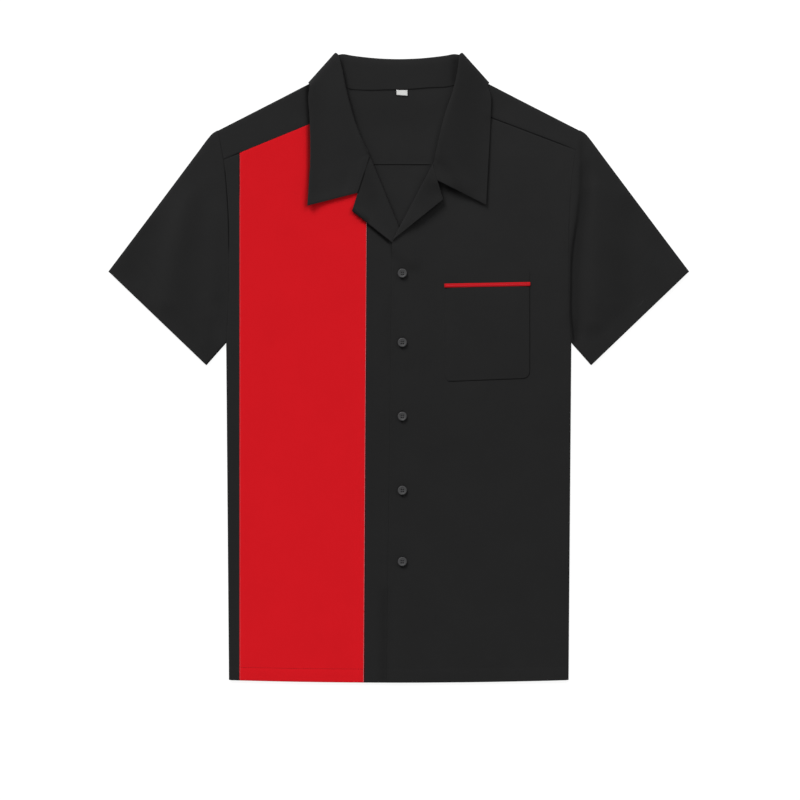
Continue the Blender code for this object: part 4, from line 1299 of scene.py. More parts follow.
def loft(bm, rows, closed):
    # the first row is drawn, and each next one is extruded from it
    verts = [bm.verts.new(point) for point in rows[0]]
    edges = [bm.edges.new(pair) for pair in zip(verts, verts[1:])]
    if closed:
        edges.append(bm.edges.new((verts[-1], verts[0])))
    grid = [verts]
    for row in rows[1:]:
        made = bmesh.ops.extrude_edge_only(bm, edges=edges)["geom"]
        fresh = {item for item in made if isinstance(item, bmesh.types.BMVert)}
        ahead = [next(edge.other_vert(vert) for edge in vert.link_edges if edge.other_vert(vert) in fresh)
                 for vert in verts]
        edges = [item for item in made if isinstance(item, bmesh.types.BMEdge)
                 and all(vert in fresh for vert in item.verts)]
        for vert, point in zip(ahead, row):
            vert.co = point
        verts = ahead
        grid.append(verts)
    bmesh.ops.recalc_face_normals(bm, faces=bm.faces[:])
    return grid


def lengthOf(points):
    return sum((high - low).length for low, high in zip(points, points[1:]))


def loftPiece(name, node, rows, closed, wall, wearRows, paintedShadeRows, paintedShadingTable, bevel=0):
    bm = bmesh.new()
    cut, wearAndPaintedLight, paintedShade = clothLayers(bm)
    flatPlace = {}
    y, middle = 0, len(rows[0]) // 3
    below = rows[0]
    for row, verts, worn, deep in zip(rows, loft(bm, rows, closed), wearRows, paintedShadeRows):
        y += (row[middle] - below[middle]).length
        below = row
        x = 0
        for index, vert in enumerate(verts):
            x += (row[index] - row[index - 1]).length if index else 0
            flatPlace[vert] = Vector((x, y)) * mm
            # painted shade and painted light from the given table
            darker, paler = paintedShadingAt(vert.co, *paintedShadingTable)
            vert[wearAndPaintedLight] = max(worn[index], paler)
            vert[paintedShade] = max(deep[index] * seamShows(vert.co.to_2d()), darker)
    for face in bm.faces:
        for loop in face.loops:
            loop[cut].uv = flatPlace[loop.vert]
    area = sum(face.calc_area() for face in bm.faces) * mm * mm
    wide = max(lengthOf(row + row[:1] if closed else row) for row in rows) * mm
    long = max(lengthOf(column) for column in zip(*rows)) * mm
    piece = toObject(bm, name, "blackCloth")
    giveWall(piece, wall)
    if bevel:
        rim = piece.modifiers.new("rim", "BEVEL")
        rim.width = bevel * mm
        rim.segments = 2
        rim.limit_method = "ANGLE"
        rim.angle_limit = math.radians(60)
    return laidOut(piece, node, (wide, long), area)


sleeves = {
    # crest x, crest y, under x, under y, share of the armhole's curve
    "rows": [(234.9, 308.6, 224.6, 32.2, 1), (241.6, 304.4, 226, 30.3, 0.93),
             (247, 298.4, 228, 28, 0.84), (262, 278.5, 230.6, 25.1, 0.6),
             (286, 246.6, 234.6, 20.5, 0.3), (316, 206.7, 239.3, 15.2, 0.1),
             (347, 165.5, 244.5, 9.3, 0), (377.2, 125.4, 249.5, 3.6, 0)],
    "lowestShading": 0.95,      # painted shading starts this high, between the sleeve's back and where its front drops
    "seamDip": 0.42,
    "seamWidth": 1.8,
    "seamReach": 15,         # the seam isn't felt farther out
    "pucker": 0.14,
    "hemDepth": 20,
    "hemColumn": 40,         # where along a ring the hem's depth is measured
    "turnedBack": (4, 9, 15, 21),
    "allowance": (0.8, 3, 7),
    "allowanceDepth": 0.55,
    "topSteps": 10,
    "bottomSteps": 6,
    "alongSteps": (5, 3, 4, 6, 8, 8, 8),
}


def sleeveRing(index, sign):
    # points round the flat tube, each with the point that it faces inside
    rows = sleeves["rows"]
    row, before, after = rows[index], rows[max(index - 1, 0)], rows[min(index + 1, len(rows) - 1)]
    radius = layers["edgeRadius"]
    bend = radius - cloth["wall"] / 2
    crestOut, underOut = shoulder["out"], Vector((0, -1))
    if index:
        crestOut = (Vector(after[:2]) - Vector(before[:2])).normalized().orthogonal()
        underOut = -(Vector(after[2:4]) - Vector(before[2:4])).normalized().orthogonal()
    crestAxis = Vector(row[:2]) - crestOut * radius
    underAxis = Vector(row[2:4]) - underOut * radius
    start = Vector(rows[0][:2]) - shoulder["out"] * radius
    underStart = body["underarm"] + Vector((0, radius))
    low, high = layers["bottom"] - plySettle, layers["top"] - plySettle
    middle, half = (low + high) / 2, (high - low) / 2

    def across(share):
        spot = crestAxis.lerp(underAxis, share)
        first = start.lerp(underStart, share)
        return Vector((spot.x + (armholeHalf(first.y) - first.x) * row[4], spot.y))

    def rounded(axis, out, turns):
        return [(axis + out * bend * math.cos(turn), middle + half * math.sin(turn), axis) for turn in turns]

    def straight(height, count):
        return [(across(step / count), height, across(step / count)) for step in range(1, count)]

    turns = [math.radians(angle) for angle in range(-90, 91, 30)]
    ring = rounded(across(0), crestOut, turns) + straight(high, sleeves["topSteps"])
    ring += rounded(across(1), underOut, turns[::-1]) + straight(low, sleeves["bottomSteps"])[::-1]
    return [(Vector((spot.x * sign, spot.y, height)), Vector((axis.x * sign, axis.y, middle)))
            for spot, height, axis in ring]


def sleeveRows(sign):
    # the fine net of a sleeve, with its seam dip, creases and turned-in hem
    rings = [sleeveRing(index, sign) for index in range(len(sleeves["rows"]))]
    # the top runs between the two rounded edges, the bottom runs back
    acrossSteps = [1] * 6 + [5] * sleeves["topSteps"] + [1] * 6 + [8] * sleeves["bottomSteps"]
    rows, inners = (refineNet([[pair[part] for pair in ring] for ring in rings], sleeves["alongSteps"],
                              acrossSteps, True) for part in (0, 1))
    middle = inners[0][0].z
    made = []
    for row, inner in zip(rows, inners):
        fresh = []
        for point, core, atSeam, atHem in zip(row, inner, rows[0], rows[-1]):
            fromSeam, fromHem = (point - atSeam).length, (point - atHem).length
            upward = max(0, point.z - middle) / (layers["top"] - plySettle - middle)
            downward = max(0, middle - point.z) / (middle - layers["bottom"] + plySettle)
            flat = point.to_2d()
            spot = point.copy()
            spot.z += upward * topRelief(flat)
            spot.z += downward * creaseSum(flat, backCreases)
            dip = hem["groove"] * math.exp(-((fromHem - sleeves["hemDepth"]) / hem["grooveWidth"]) ** 2)
            if fromSeam < sleeves["seamReach"]:
                seam = sleeves["seamDip"] * max(0, 1 - fromSeam / sleeves["seamWidth"]) ** 2
                pucker = sleeves["pucker"] * (1 + waviness(flat, border["puckerLength"], 9)) / 2
                seam += pucker * math.exp(-(fromSeam / border["puckerReach"]) ** 2)
                dip += seam * seamShows(flat)
            fresh.append(spot + (core - point).normalized() * dip)
        made.append(fresh)
    # the cuff turns in round a small fold and runs back inside
    out = (Vector(sleeves["rows"][-1][:2]) - Vector(sleeves["rows"][-2][:2])).normalized()
    out = Vector((out.x * sign, out.y, 0)) * hem["radius"]
    last = made[-1]
    for turn in (math.radians(degrees) for degrees in (45, 90, 135, 180)):
        made.append([point + (core - point).normalized() * hem["radius"] * (1 - math.cos(turn))
                     + out * math.sin(turn) for point, core in zip(last, inners[-1])])
    fold, inward = made[-1], rows[-1 - sleeves["alongSteps"][-1]]
    for back in sleeves["turnedBack"]:
        share = back / (inward[0] - rows[-1][0]).length
        made.append([point + (far - near) * share for point, far, near in zip(fold, inward, rows[-1])])
    # the seam allowance runs on inside the body
    seamRow = [spot + (core - point).normalized() * sleeves["allowanceDepth"]
               for spot, point, core in zip(made[0], rows[0], inners[0])]
    inside = [[spot - Vector((sign * back, 0, 0)) for spot in seamRow] for back in sleeves["allowance"]]
    return inside[::-1] + made, len(inside), len(rows)


sleeveNets = {}


def makeSleeve(name, node, sign):
    rows, seam, count = sleeveRows(sign)
    for row in rows:
        for point in row:
            point.z = aboveFloor(point.z, cloth["wall"])
    cuff = seam + count - 1
    sleeveNets[sign] = rows[seam:cuff + 1]
    wearRows = [[0.6 if cuff <= index <= cuff + 4 else 0] * len(row) for index, row in enumerate(rows)]
    # painted shade along the armhole seam
    paintedShadeRows = [[1 if index <= seam else 0] * len(row) for index, row in enumerate(rows)]
    return loftPiece(name, node, rows, True, cloth["wall"], wearRows, paintedShadeRows,
                     (paintedShadingOnTop, sleeves["lowestShading"]))


collar = {
    # half width, seam y, roll half width, roll y, edge half width, edge y
    "back": [(0, 361.2, 0, 401.4, 0, 351.5), (19, 361.2, 17, 401.8, 21, 351.9),
             (38, 361.2, 35, 403, 44, 353),
             (62, 362.6, 60, 405.9, 82, 357.5), (76, 367.6, 72.5, 408, 103, 362.5)],
    "backRoll": 1.3,
    "cornerRoll": 1.7,
    "cornerBulge": 3,
    "corner": Vector((81, 409.2)),
    "side": Vector((119, 369.6)),
    "reach": 30.6,
    "seamRoom": 0.14,
    "fallShares": (0.3, 0.6, 0.85, 1),
    "firstOnFall": 7,
    "gorgeShares": (0, 0.05, 0.1, 0.15, 0.2, 0.25, 0.3, 0.5, 0.7, 0.87, 1),
    "gorgeOffset": 0.75,
    "gorgeSteps": 4,
    "gorgeEdgeStart": 0.2,
    "gorgeEdgeStep": 0.06,
    "gorgeFlat": [(0.38, 0.57), (0.65, 0.76), (1, 1)],   # share of the seam, share of the edge
    "acrossSteps": (2, 2, 2, 2, 2, 2, 4, 4, 4, 4),
    # points beside the neck seam: distance, and largest share of the net's first step
    "seamNet": ((0.6, 0.33), (1.2, 0.66)),
    "roll": (6, 14),         # columns of the net that the roll takes
    "rollWear": 0.3,
}
collarHalfWall = cloth["solidCollarWall"] / 2
standLevel = cloth["solidCollarWall"] + collarHalfWall + cloth["gap"]
collarSideAxis = shoulder["axis"] + shoulder["along"] * collar["reach"]
upwards = Vector((0, 0, 1))


def collarSection(seam, center, inward, up, radius, edge):
    # stand, half a circle at the roll, fall
    turns = [math.pi * step / 4 for step in range(5)]
    bend = [center + up * radius * math.cos(turn) - inward * radius * math.sin(turn) for turn in turns]
    start = [seam, seam.lerp(bend[0], 0.5)] + bend
    return start + [start[-1].lerp(edge, share) for share in collar["fallShares"]]


def backCollarSection(row, sign):
    half, seamY, rollHalf, rollY, edgeHalf, edgeY = row
    radius = collar["backRoll"]
    seam = Vector((half * sign, seamY + seamTilt(half * sign) + 0.05, standLevel))
    center = Vector((rollHalf * sign, rollY - collarHalfWall - radius, collarHalfWall + radius))
    edge = Vector((edgeHalf * sign, edgeY, collarHalfWall))
    return collarSection(seam, center, Vector((0, -1, 0)), upwards, radius, edge)


def creaseCollarSection(turn, sign):
    # the collar turns over the shoulder, from turn 0 below to pi above
    neckEnd, corner, flank, outward = (mirrored(point, sign) for point in (
        shoulder["axis"], collar["corner"], collarSideAxis, shoulder["out"]))
    low, high = backLevel(neckEnd), upperLayer(neckEnd)
    creaseOut = mirrored(-(collar["corner"] - collar["side"]).normalized().orthogonal(), sign)
    share = (1 - math.cos(turn)) / 2
    bulge = math.sin(turn)

    seam = neckEnd - mirrored(shoulder["along"], sign) * collarHalfWall + outward * shoulderBend * bulge
    seam = Vector((*seam, low + (high - low) * share))

    radius = collar["backRoll"] + (collar["cornerRoll"] - collar["backRoll"]) * share
    rollLow, rollHigh = collarHalfWall + collar["backRoll"], high + collar["cornerRoll"]
    spot = corner - creaseOut * collar["cornerBulge"] * (1 - bulge)
    halfOpen = (neckEnd - corner).normalized() + (flank - corner).normalized()
    inward = Vector((*halfOpen.normalized(), 0))
    tip = Vector((*spot, rollLow + (rollHigh - rollLow) * share)) + inward * collarHalfWall
    up = Vector((*(-creaseOut * bulge), math.cos(turn)))
    up = (up - inward * up.dot(inward)).normalized()

    edgeRise = high + layers["lapelSettle"] - collarHalfWall
    edge = Vector((*(flank + outward * edgeRise / 2 * bulge), collarHalfWall + edgeRise * share))
    return collarSection(seam, tip + inward * radius, inward, up, radius, edge)


def restOn(layer, point, lift=0):
    return layer(point.to_2d()) + layers["lapelSettle"] + cloth["gap"] + lift


def layOn(layer, section, first):
    # no point of the fall lies lower than the front under it
    for point in section[first:-1]:
        point.z = max(point.z, restOn(layer, point))
    return section


def frontCollarSection(row, layer):
    seam, roll, edge = (Vector(row[first:first + 2]) for first in (0, 2, 4))
    radius, lift = row[6:]
    out = (roll - seam).normalized()
    level = layer(seam)
    center = Vector((*(roll - out * (radius + collarHalfWall)), level + radius))
    start = Vector((*(seam + out * collar["seamRoom"]), level))
    end = Vector((*edge, restOn(layer, edge, lift)))
    section = collarSection(start, center, Vector((*-out, 0)), -upwards, radius, end)
    return layOn(layer, section, collar["firstOnFall"])


def gorgeSection(center, inward, up, radius, edge, begin):
    # from a place on the roll to the free edge, with no stand
    top = center - up * radius
    bend = (math.pi - begin) * radius
    fall = (edge - top).length
    onRoll = [bend * step / 6 for step in range(7)] + [bend + fall * share for share in collar["fallShares"]]
    spread = (begin / math.pi) ** 2
    points = []
    for near, share in zip(onRoll, collar["gorgeShares"]):
        distance = near + ((bend + fall) * share - near) * spread
        turn = begin + distance / radius
        if turn < math.pi:
            points.append(center + up * radius * math.cos(turn) - inward * radius * math.sin(turn))
        else:
            points.append(top.lerp(edge, (distance - bend) / fall))
    return points


def gorgeSections(rows, lapel, roll, layer):
    # beyond the roll's end the neck seam runs on the turned-over lapel
    end = roll.unfold(lapel["notch"])
    radius = roll.radiusAt(0)
    steps = collar["gorgeSteps"]

    def edgeAt(share):
        flat = Vector(rows[-1][4:6]).lerp(lapel["collarPoint"], share)
        return Vector((*flat, restOn(layer, flat, rows[-1][7])))

    sections = []
    for step in range(steps + 1):
        turn = math.pi * step / steps
        cutPoint = lapel["rollTop"].lerp(end, turn * radius / roll.split(end)[1])
        axis = cutPoint - roll.out * roll.split(cutPoint)[1] - roll.along * collar["gorgeOffset"]
        center = Vector((*axis, layer(axis) + radius))
        edge = edgeAt(collar["gorgeEdgeStart"] + collar["gorgeEdgeStep"] * step)
        section = gorgeSection(center, Vector((*-roll.out, 0)), -upwards, radius, edge, turn)
        sections.append(layOn(layer, section, collar["firstOnFall"] if step < steps else 1))
    for seamShare, edgeShare in collar["gorgeFlat"]:
        seam = roll.place(lapel["rollTop"].lerp(end, seamShare))
        edge = edgeAt(edgeShare)
        seam += (edge - seam).normalized() * collar["seamRoom"]
        sections.append(layOn(layer, [seam.lerp(edge, part) for part in collar["gorgeShares"]], 1))
    return sections


def collarHalf(side, roll, layer):
    sign = 1 if side == "left" else -1
    sections = [backCollarSection(row, sign) for row in collar["back"]]
    sections += [creaseCollarSection(math.pi * step / 4, sign) for step in range(5)]
    sections += [frontCollarSection(row, layer) for row in neck[side]]
    return sections + gorgeSections(neck[side], lapels[side], roll, layer)


collarNet = []


def nearSeam(row):
    # two more points beside the neck seam, for the painted shade along it
    length = (row[1] - row[0]).length
    added = [row[0].lerp(row[1], min(away / length, share)) for away, share in collar["seamNet"]]
    return row[:1] + added + row[1:]


def makeCollar():
    right = collarHalf("right", rightRoll, upperLayer)
    left = collarHalf("left", leftRoll, leftFrontLayer)
    coarse = right[::-1] + left[1:]
    alongSteps = []
    for low, high in zip(coarse, coarse[1:]):
        widest = max((second - first).length for first, second in zip(low, high))
        alongSteps.append(max(2, min(8, round(widest / cloth["cell"]))))
    rows = [nearSeam(row) for row in refineNet(coarse, alongSteps, collar["acrossSteps"])]
    for row in rows:
        for point in row:
            point.z += turnedLift(point, leftFrontLayer if point.x > 0 else upperLayer) - collarSettle
            point.z = aboveFloor(point.z, cloth["collarWall"])
    collarNet.extend(rows)
    first, last = collar["roll"]
    worn = [collar["rollWear"] if first <= index <= last else 0 for index in range(len(rows[0]) - 1)]
    wearRows = [worn + [collar["rollWear"]]] * len(rows)
    # painted shade along the neck seam
    paintedShadeRows = [[1, 0.6] + [0] * (len(rows[0]) - 2)] * len(rows)
    return loftPiece("campCollar", "collar", rows, False, cloth["collarWall"],
                     wearRows, paintedShadeRows,
                     (paintedShadingOnCollar, layers["edgeRadius"]), bevel=0.3)


# Pocket, piping and tab

pocket = {
    "left": 59.3, "right": 170.4, "topLeft": 103.9, "topRight": 106,
    "bottomLeft": -18, "bottomRight": -14.2,
    "slant": Vector((5, 6.5)), "round": 9, "roundSteps": 6,
    "lift": 0.62,            # from the front's cloth up to the pocket's
    "closer": 0.52,          # how much less at its left side
    "closerReach": 9,
    "puff": 0.5,             # how much more in its middle
    "puffReach": 16,
}
piping = {
    "height": 4.9, "overhang": 0.5,
    "wall": 0.4, "fold": 0.3, "swell": 0.45, "cell": 1.3, "corner": (0.8, 1.2),
    "wave": 0.1, "waveLength": 7, "waveRow": 14,
    "lift": 0.7,             # from the front's cloth up to the strip's lower ply
}
tab = {
    "left": -2.9, "width": 14.2, "top": 360.6, "bottomLeft": 354.5, "bottomRight": 353.5,
    "fold": 0.34, "lift": 0.75, "curl": 0.5, "curlReach": 9, "wall": 0.3, "cell": 1.2,
}


def pocketOutline():
    points = [Vector((pocket["left"], pocket["topLeft"])),
              Vector((pocket["left"], pocket["bottomLeft"] + pocket["slant"].y)),
              Vector((pocket["left"] + pocket["slant"].x, pocket["bottomLeft"]))]
    center = Vector((pocket["right"] - pocket["round"], pocket["bottomRight"] + pocket["round"]))
    for step in range(pocket["roundSteps"] + 1):
        turn = math.radians(-90 + 90 * step / pocket["roundSteps"])
        points.append(center + Vector((math.cos(turn), math.sin(turn))) * pocket["round"])
    points.append(Vector((pocket["right"], pocket["topRight"])))
    return points


pocketSides = pocketOutline()


def placePocket(point, relief=0):
    away = min(awayFrom(point, start, end) for start, end in zip(pocketSides, pocketSides[1:]))
    closer = pocket["closer"] * (1 - ease((point.x - pocket["left"]) / pocket["closerReach"]))
    lift = pocket["lift"] - closer + pocket["puff"] * ease(away / pocket["puffReach"])
    return Vector((*point, leftFrontLayer(point) - plySettle + lift + relief))


def makePocket():
    outline = withKind(pocketSides[:1], "fold") + withKind(pocketSides[1:-1], "tucked")
    outline += withKind(pocketSides[-1:], "fold")
    return clothPiece("chestPocket", "pocket", outline, placePocket)


pipingStart = Vector((pocket["left"], pocket["topLeft"] + cloth["gap"]))
pipingEnd = Vector((pocket["right"] + piping["overhang"], pocket["topRight"] + cloth["gap"]))


def placePiping(point, relief=0):
    # a strip folded at its upper edge, both raw edges in the pocket's mouth
    run = (pipingEnd - pipingStart).normalized()
    axis = piping["height"] - piping["fold"]
    past, drop = foldOver(point.y - axis, piping["fold"])
    y = axis + past
    spot = pipingStart + run * point.x + run.orthogonal() * y
    level = leftFrontLayer(spot) - plySettle + piping["lift"] + 2 * piping["fold"] - drop + relief
    level += piping["wave"] * waviness(Vector((point.x, piping["waveRow"])), piping["waveLength"], 5)
    if drop < piping["fold"]:
        level += piping["swell"] * (1 - (y / piping["height"] * 2 - 1) ** 2)
    return Vector((*spot, level))


def withoutSeams(corners):
    return withKind([Vector(corner) for corner in corners], "none")


def foldCuts(start, run, radius):
    # rows of faces round a small fold
    return [cutAlong(start - run.orthogonal() * math.pi * radius * part / 6, run) for part in range(7)]


def makePiping():
    length = (pipingEnd - pipingStart).length
    full = 2 * piping["height"] + (math.pi - 2) * piping["fold"]
    x, y = piping["corner"]
    corners = ((0, 0), (length - x, 0), (length, y), (length, full - y), (length - x, full), (0, full))
    lines = foldCuts(Vector((0, piping["height"] - piping["fold"])), Vector((-1, 0)), piping["fold"])
    return clothPiece("pocketPiping", "pocket_piping", withoutSeams(corners), placePiping, lines,
                      "shadedPipingCloth", piping["cell"], piping["wall"])


def tabBottom(x):
    share = (x - tab["left"]) / tab["width"]
    return tab["bottomLeft"] + (tab["bottomRight"] - tab["bottomLeft"]) * share


def placeTab(point, relief=0):
    # a strip folded at its lower edge, both ends in the neck seam
    axis = tabBottom(point.x) + tab["fold"]
    past, rise = foldOver(axis - point.y, tab["fold"])
    y = axis - past
    level = backLevel(Vector((point.x, y))) - plySettle + tab["lift"] + 2 * tab["fold"] - rise
    return Vector((point.x, y, level + tab["curl"] * ease((tab["top"] - y) / tab["curlReach"]) + relief))


def makeTab():
    low = 2 * min(tab["bottomLeft"], tab["bottomRight"]) - tab["top"] + 1
    left, right = tab["left"], tab["left"] + tab["width"]
    corners = ((left, low), (right, low), (right, tab["top"]), (left, tab["top"]))
    lines = foldCuts(Vector((left, tab["bottomLeft"] + tab["fold"])),
                     Vector((tab["width"], tab["bottomRight"] - tab["bottomLeft"])).normalized(), tab["fold"])
    return clothPiece("sizeTab", "size_tab", withoutSeams(corners), placeTab, lines,
                      "paleTape", tab["cell"], tab["wall"])


# Buttons and buttonholes


def buttonFloor(spot):
    reach = (-buttons["reach"], 0, buttons["reach"])
    levels = [leftFrontLayer(spot + Vector((x, y))) for x in reach for y in reach]
    return max(levels) + cloth["solidWall"] / 2 + cloth["gap"]


def applied(piece):
    # bakes the modifiers into the mesh
    depsgraph = bpy.context.evaluated_depsgraph_get()
    mesh = bpy.data.meshes.new_from_object(piece.evaluated_get(depsgraph))
    piece.modifiers.clear()
    piece.data = mesh
    return piece


def makeButton(number, spot):
    floor = buttonFloor(spot)
    bm = bmesh.new()
    profile = [(share * buttons["radius"], 0, rise * buttons["height"]) for share, rise in buttons["profile"]]
    verts = [bm.verts.new(point) for point in profile]
    edges = [bm.edges.new(pair) for pair in zip(verts, verts[1:])]
    bmesh.ops.spin(bm, geom=verts + edges, axis=(0, 0, 1), cent=(0, 0, 0), angle=math.tau,
                   steps=buttons["turns"], use_merge=True)
    bmesh.ops.remove_doubles(bm, verts=bm.verts[:], dist=0.001)
    bmesh.ops.recalc_face_normals(bm, faces=bm.faces[:])
    bmesh.ops.translate(bm, vec=(spot.x, spot.y, floor), verts=bm.verts[:])
    piece = toObject(bm, f"shirtButton_{number}", "greyButton")

    drill = bmesh.new()
    for quarter in range(4):
        angle = math.radians(45 + 90 * quarter)
        shift = Vector((math.cos(angle), math.sin(angle), 0)) * buttons["holeSpread"]
        made = bmesh.ops.create_cone(drill, cap_ends=True, segments=20, radius1=buttons["holeRadius"],
                                     radius2=buttons["holeRadius"], depth=buttons["height"] * 4)
        bmesh.ops.translate(drill, vec=shift + Vector((spot.x, spot.y, floor)), verts=made["verts"])
    cutter = toObject(drill, f"drill_{number}", "greyButton")
    holes = piece.modifiers.new("holes", "BOOLEAN")
    holes.object = cutter
    holes.solver = "EXACT"
    applied(piece)
    bpy.data.objects.remove(cutter)
    piece.data.shade_smooth()
    piece.data.set_sharp_from_angle(angle=math.radians(40))
    return onShirt(piece, f"button_{number}")


# the thread in a button: the shank's two radii, and how thick, close, flat and deep a strand is
strand = {"shank": (1.7, 1.3), "radius": 0.14, "apart": 0.16, "flatten": 0.48, "sink": 0.55}


def sewButton(bm, spot):
    # a short shank under the button and two pairs of strands through its holes
    floor = buttonFloor(spot)
    low = leftFrontLayer(spot) - plySettle
    wide, narrow = strand["shank"]
    made = bmesh.ops.create_cone(bm, cap_ends=True, segments=12, radius1=wide, radius2=narrow,
                                 depth=floor - low + 0.4)
    bmesh.ops.translate(bm, vec=(*spot, (floor + low) / 2), verts=made["verts"])
    reach = buttons["holeSpread"] * math.cos(math.radians(45))
    height = floor + buttons["height"] * buttons["profile"][-1][1] - strand["sink"]
    for side in (-1, 1):
        for shift in (-strand["apart"], strand["apart"]):
            others = set(bm.verts)
            ring = bmesh.ops.create_circle(bm, cap_ends=False, segments=8, radius=strand["radius"])
            verts = ring["verts"]
            start = Vector((spot.x - reach + shift * 0.5, spot.y + side * reach + shift, height))
            bmesh.ops.translate(bm, vec=start, verts=verts)
            edges = [edge for edge in bm.edges if edge.verts[0] in verts]
            center = (spot.x + shift * 0.2, start.y, start.z)
            bmesh.ops.spin(bm, geom=verts + edges, axis=(0, 1, 0), cent=center, angle=math.pi, steps=10)
            # flatten the arch so that the strand lies close to the button
            arch = [vert for vert in bm.verts if vert not in others]
            bmesh.ops.scale(bm, vec=(1, 1, strand["flatten"]), verts=arch,
                            space=Matrix.Translation((0, 0, -start.z)))


def makeButtonThread():
    bm = bmesh.new()
    for y in buttons["y"]:
        sewButton(bm, Vector((buttons["x"], y)))
    bmesh.ops.recalc_face_normals(bm, faces=bm.faces[:])
    return onShirt(toObject(bm, "buttonThread", "buttonThread"))


# the slit's length, and length, width and height of the beads beside it and of the bars at its ends
buttonhole = {"length": 15, "offset": 0.75, "pitch": 0.5, "bead": (1.21, 0.5, 0.42), "bar": (2.8, 0.5, 0.45)}


def sewButtonhole(sewing, spot):
    half = buttonhole["length"] / 2
    count = round(buttonhole["length"] / buttonhole["pitch"])

    def lay(x, y, rise, form):
        place = placeLeftFront(spot + Vector((x, y))) + upwards * cloth["wall"] * rise
        sewing.lay(place, Vector((1, 0, 0)), upwards, *form)

    for side in (-1, 1):
        for step in range(count + 1):
            y = buttonhole["length"] * step / count - half
            lay(side * buttonhole["offset"], y, 0.55, buttonhole["bead"])
        for step in range(3):
            lay(0, side * (half + 0.3 * step), 0.6, buttonhole["bar"])


# Sewing the shirt together


# how far rows of stitches run from a seam or an edge
fromEdge = {
    "yokeSeam": 1.7,
    "backSeam": 4.2,
    "frontEdge": 2.4,
    "lapelEdge": 2.6,
    "collar": 2.6,
    "pocket": 1.8,
    "panelSeam": 0.8,
    "side": 2.5,
    "tab": 1,
    "piping": 2.3,
}
# a line of very dark stitches beside the pocket's mouth, painted shadow of a narrow trough: from the pocket's
# corner to its lower end, and its length
mouthShadeLine = {"x": -0.2, "y": 4, "length": 15}
# rows that differ from a plain one
rowKinds = {
    "redHem": {"width": 0.75},
    "panelSeam": {"pitch": 2.4, "length": 2.6, "width": 0.95, "rise": 0.3},
    "stripSeam": {"pitch": 2.3, "length": 2.5, "width": 0.4},
    "mouthShadeLine": {"pitch": 1.5, "length": 1.9, "width": 0.8},
    "piping": {"pitch": 2.5, "length": 2.4, "width": 0.5, "rise": 0.2},
    "tab": {"pitch": 1.5, "length": 1.2, "width": 0.34, "rise": 0.15},
    "lapel": {"rise": cloth["wall"] * 0.9 - stitch["sink"]},
}


def offsetRun(start, end, distance):
    # the run moved to its left
    shift = (end - start).normalized().orthogonal() * distance
    return start + shift, end + shift


def sewCollar(sewing):
    # along the leaf's free edge
    points, ups = [], []
    for before, row, after in zip(collarNet[1:], collarNet[2:-2], collarNet[3:]):
        reach, index = 0, len(row) - 1
        while reach < fromEdge["collar"]:
            reach += (row[index] - row[index - 1]).length
            index -= 1
        across = row[index + 1] - row[index]
        points.append(row[index + 1].lerp(row[index], 1 - (reach - fromEdge["collar"]) / across.length))
        ups.append(across.cross(after[index] - before[index]).normalized())
    for start, end, up in zip(points, points[1:], ups):
        length = (end - start).length
        count = max(1, round(length / stitch["pitch"]))
        lift = up * (cloth["collarWall"] / 2 - stitch["sink"])
        for step in range(count):
            sewing.lay(start.lerp(end, (step + 0.5) / count) + lift, (end - start).normalized(), up,
                       min(stitch["length"], length / count * 0.8), stitch["width"], stitch["height"])


def sewPocket(sewing, surface):
    inset = fromEdge["pocket"]
    inner = [pocketSides[0] + Vector((inset, 0))]
    for before, here, after in zip(pocketSides, pocketSides[1:], pocketSides[2:]):
        bisector = (here - before).normalized().orthogonal() + (after - here).normalized().orthogonal()
        inner.append(here + bisector.normalized() * inset)
    inner.append(pocketSides[-1] - Vector((inset, 0)))
    sewing.seam(surface, inner)


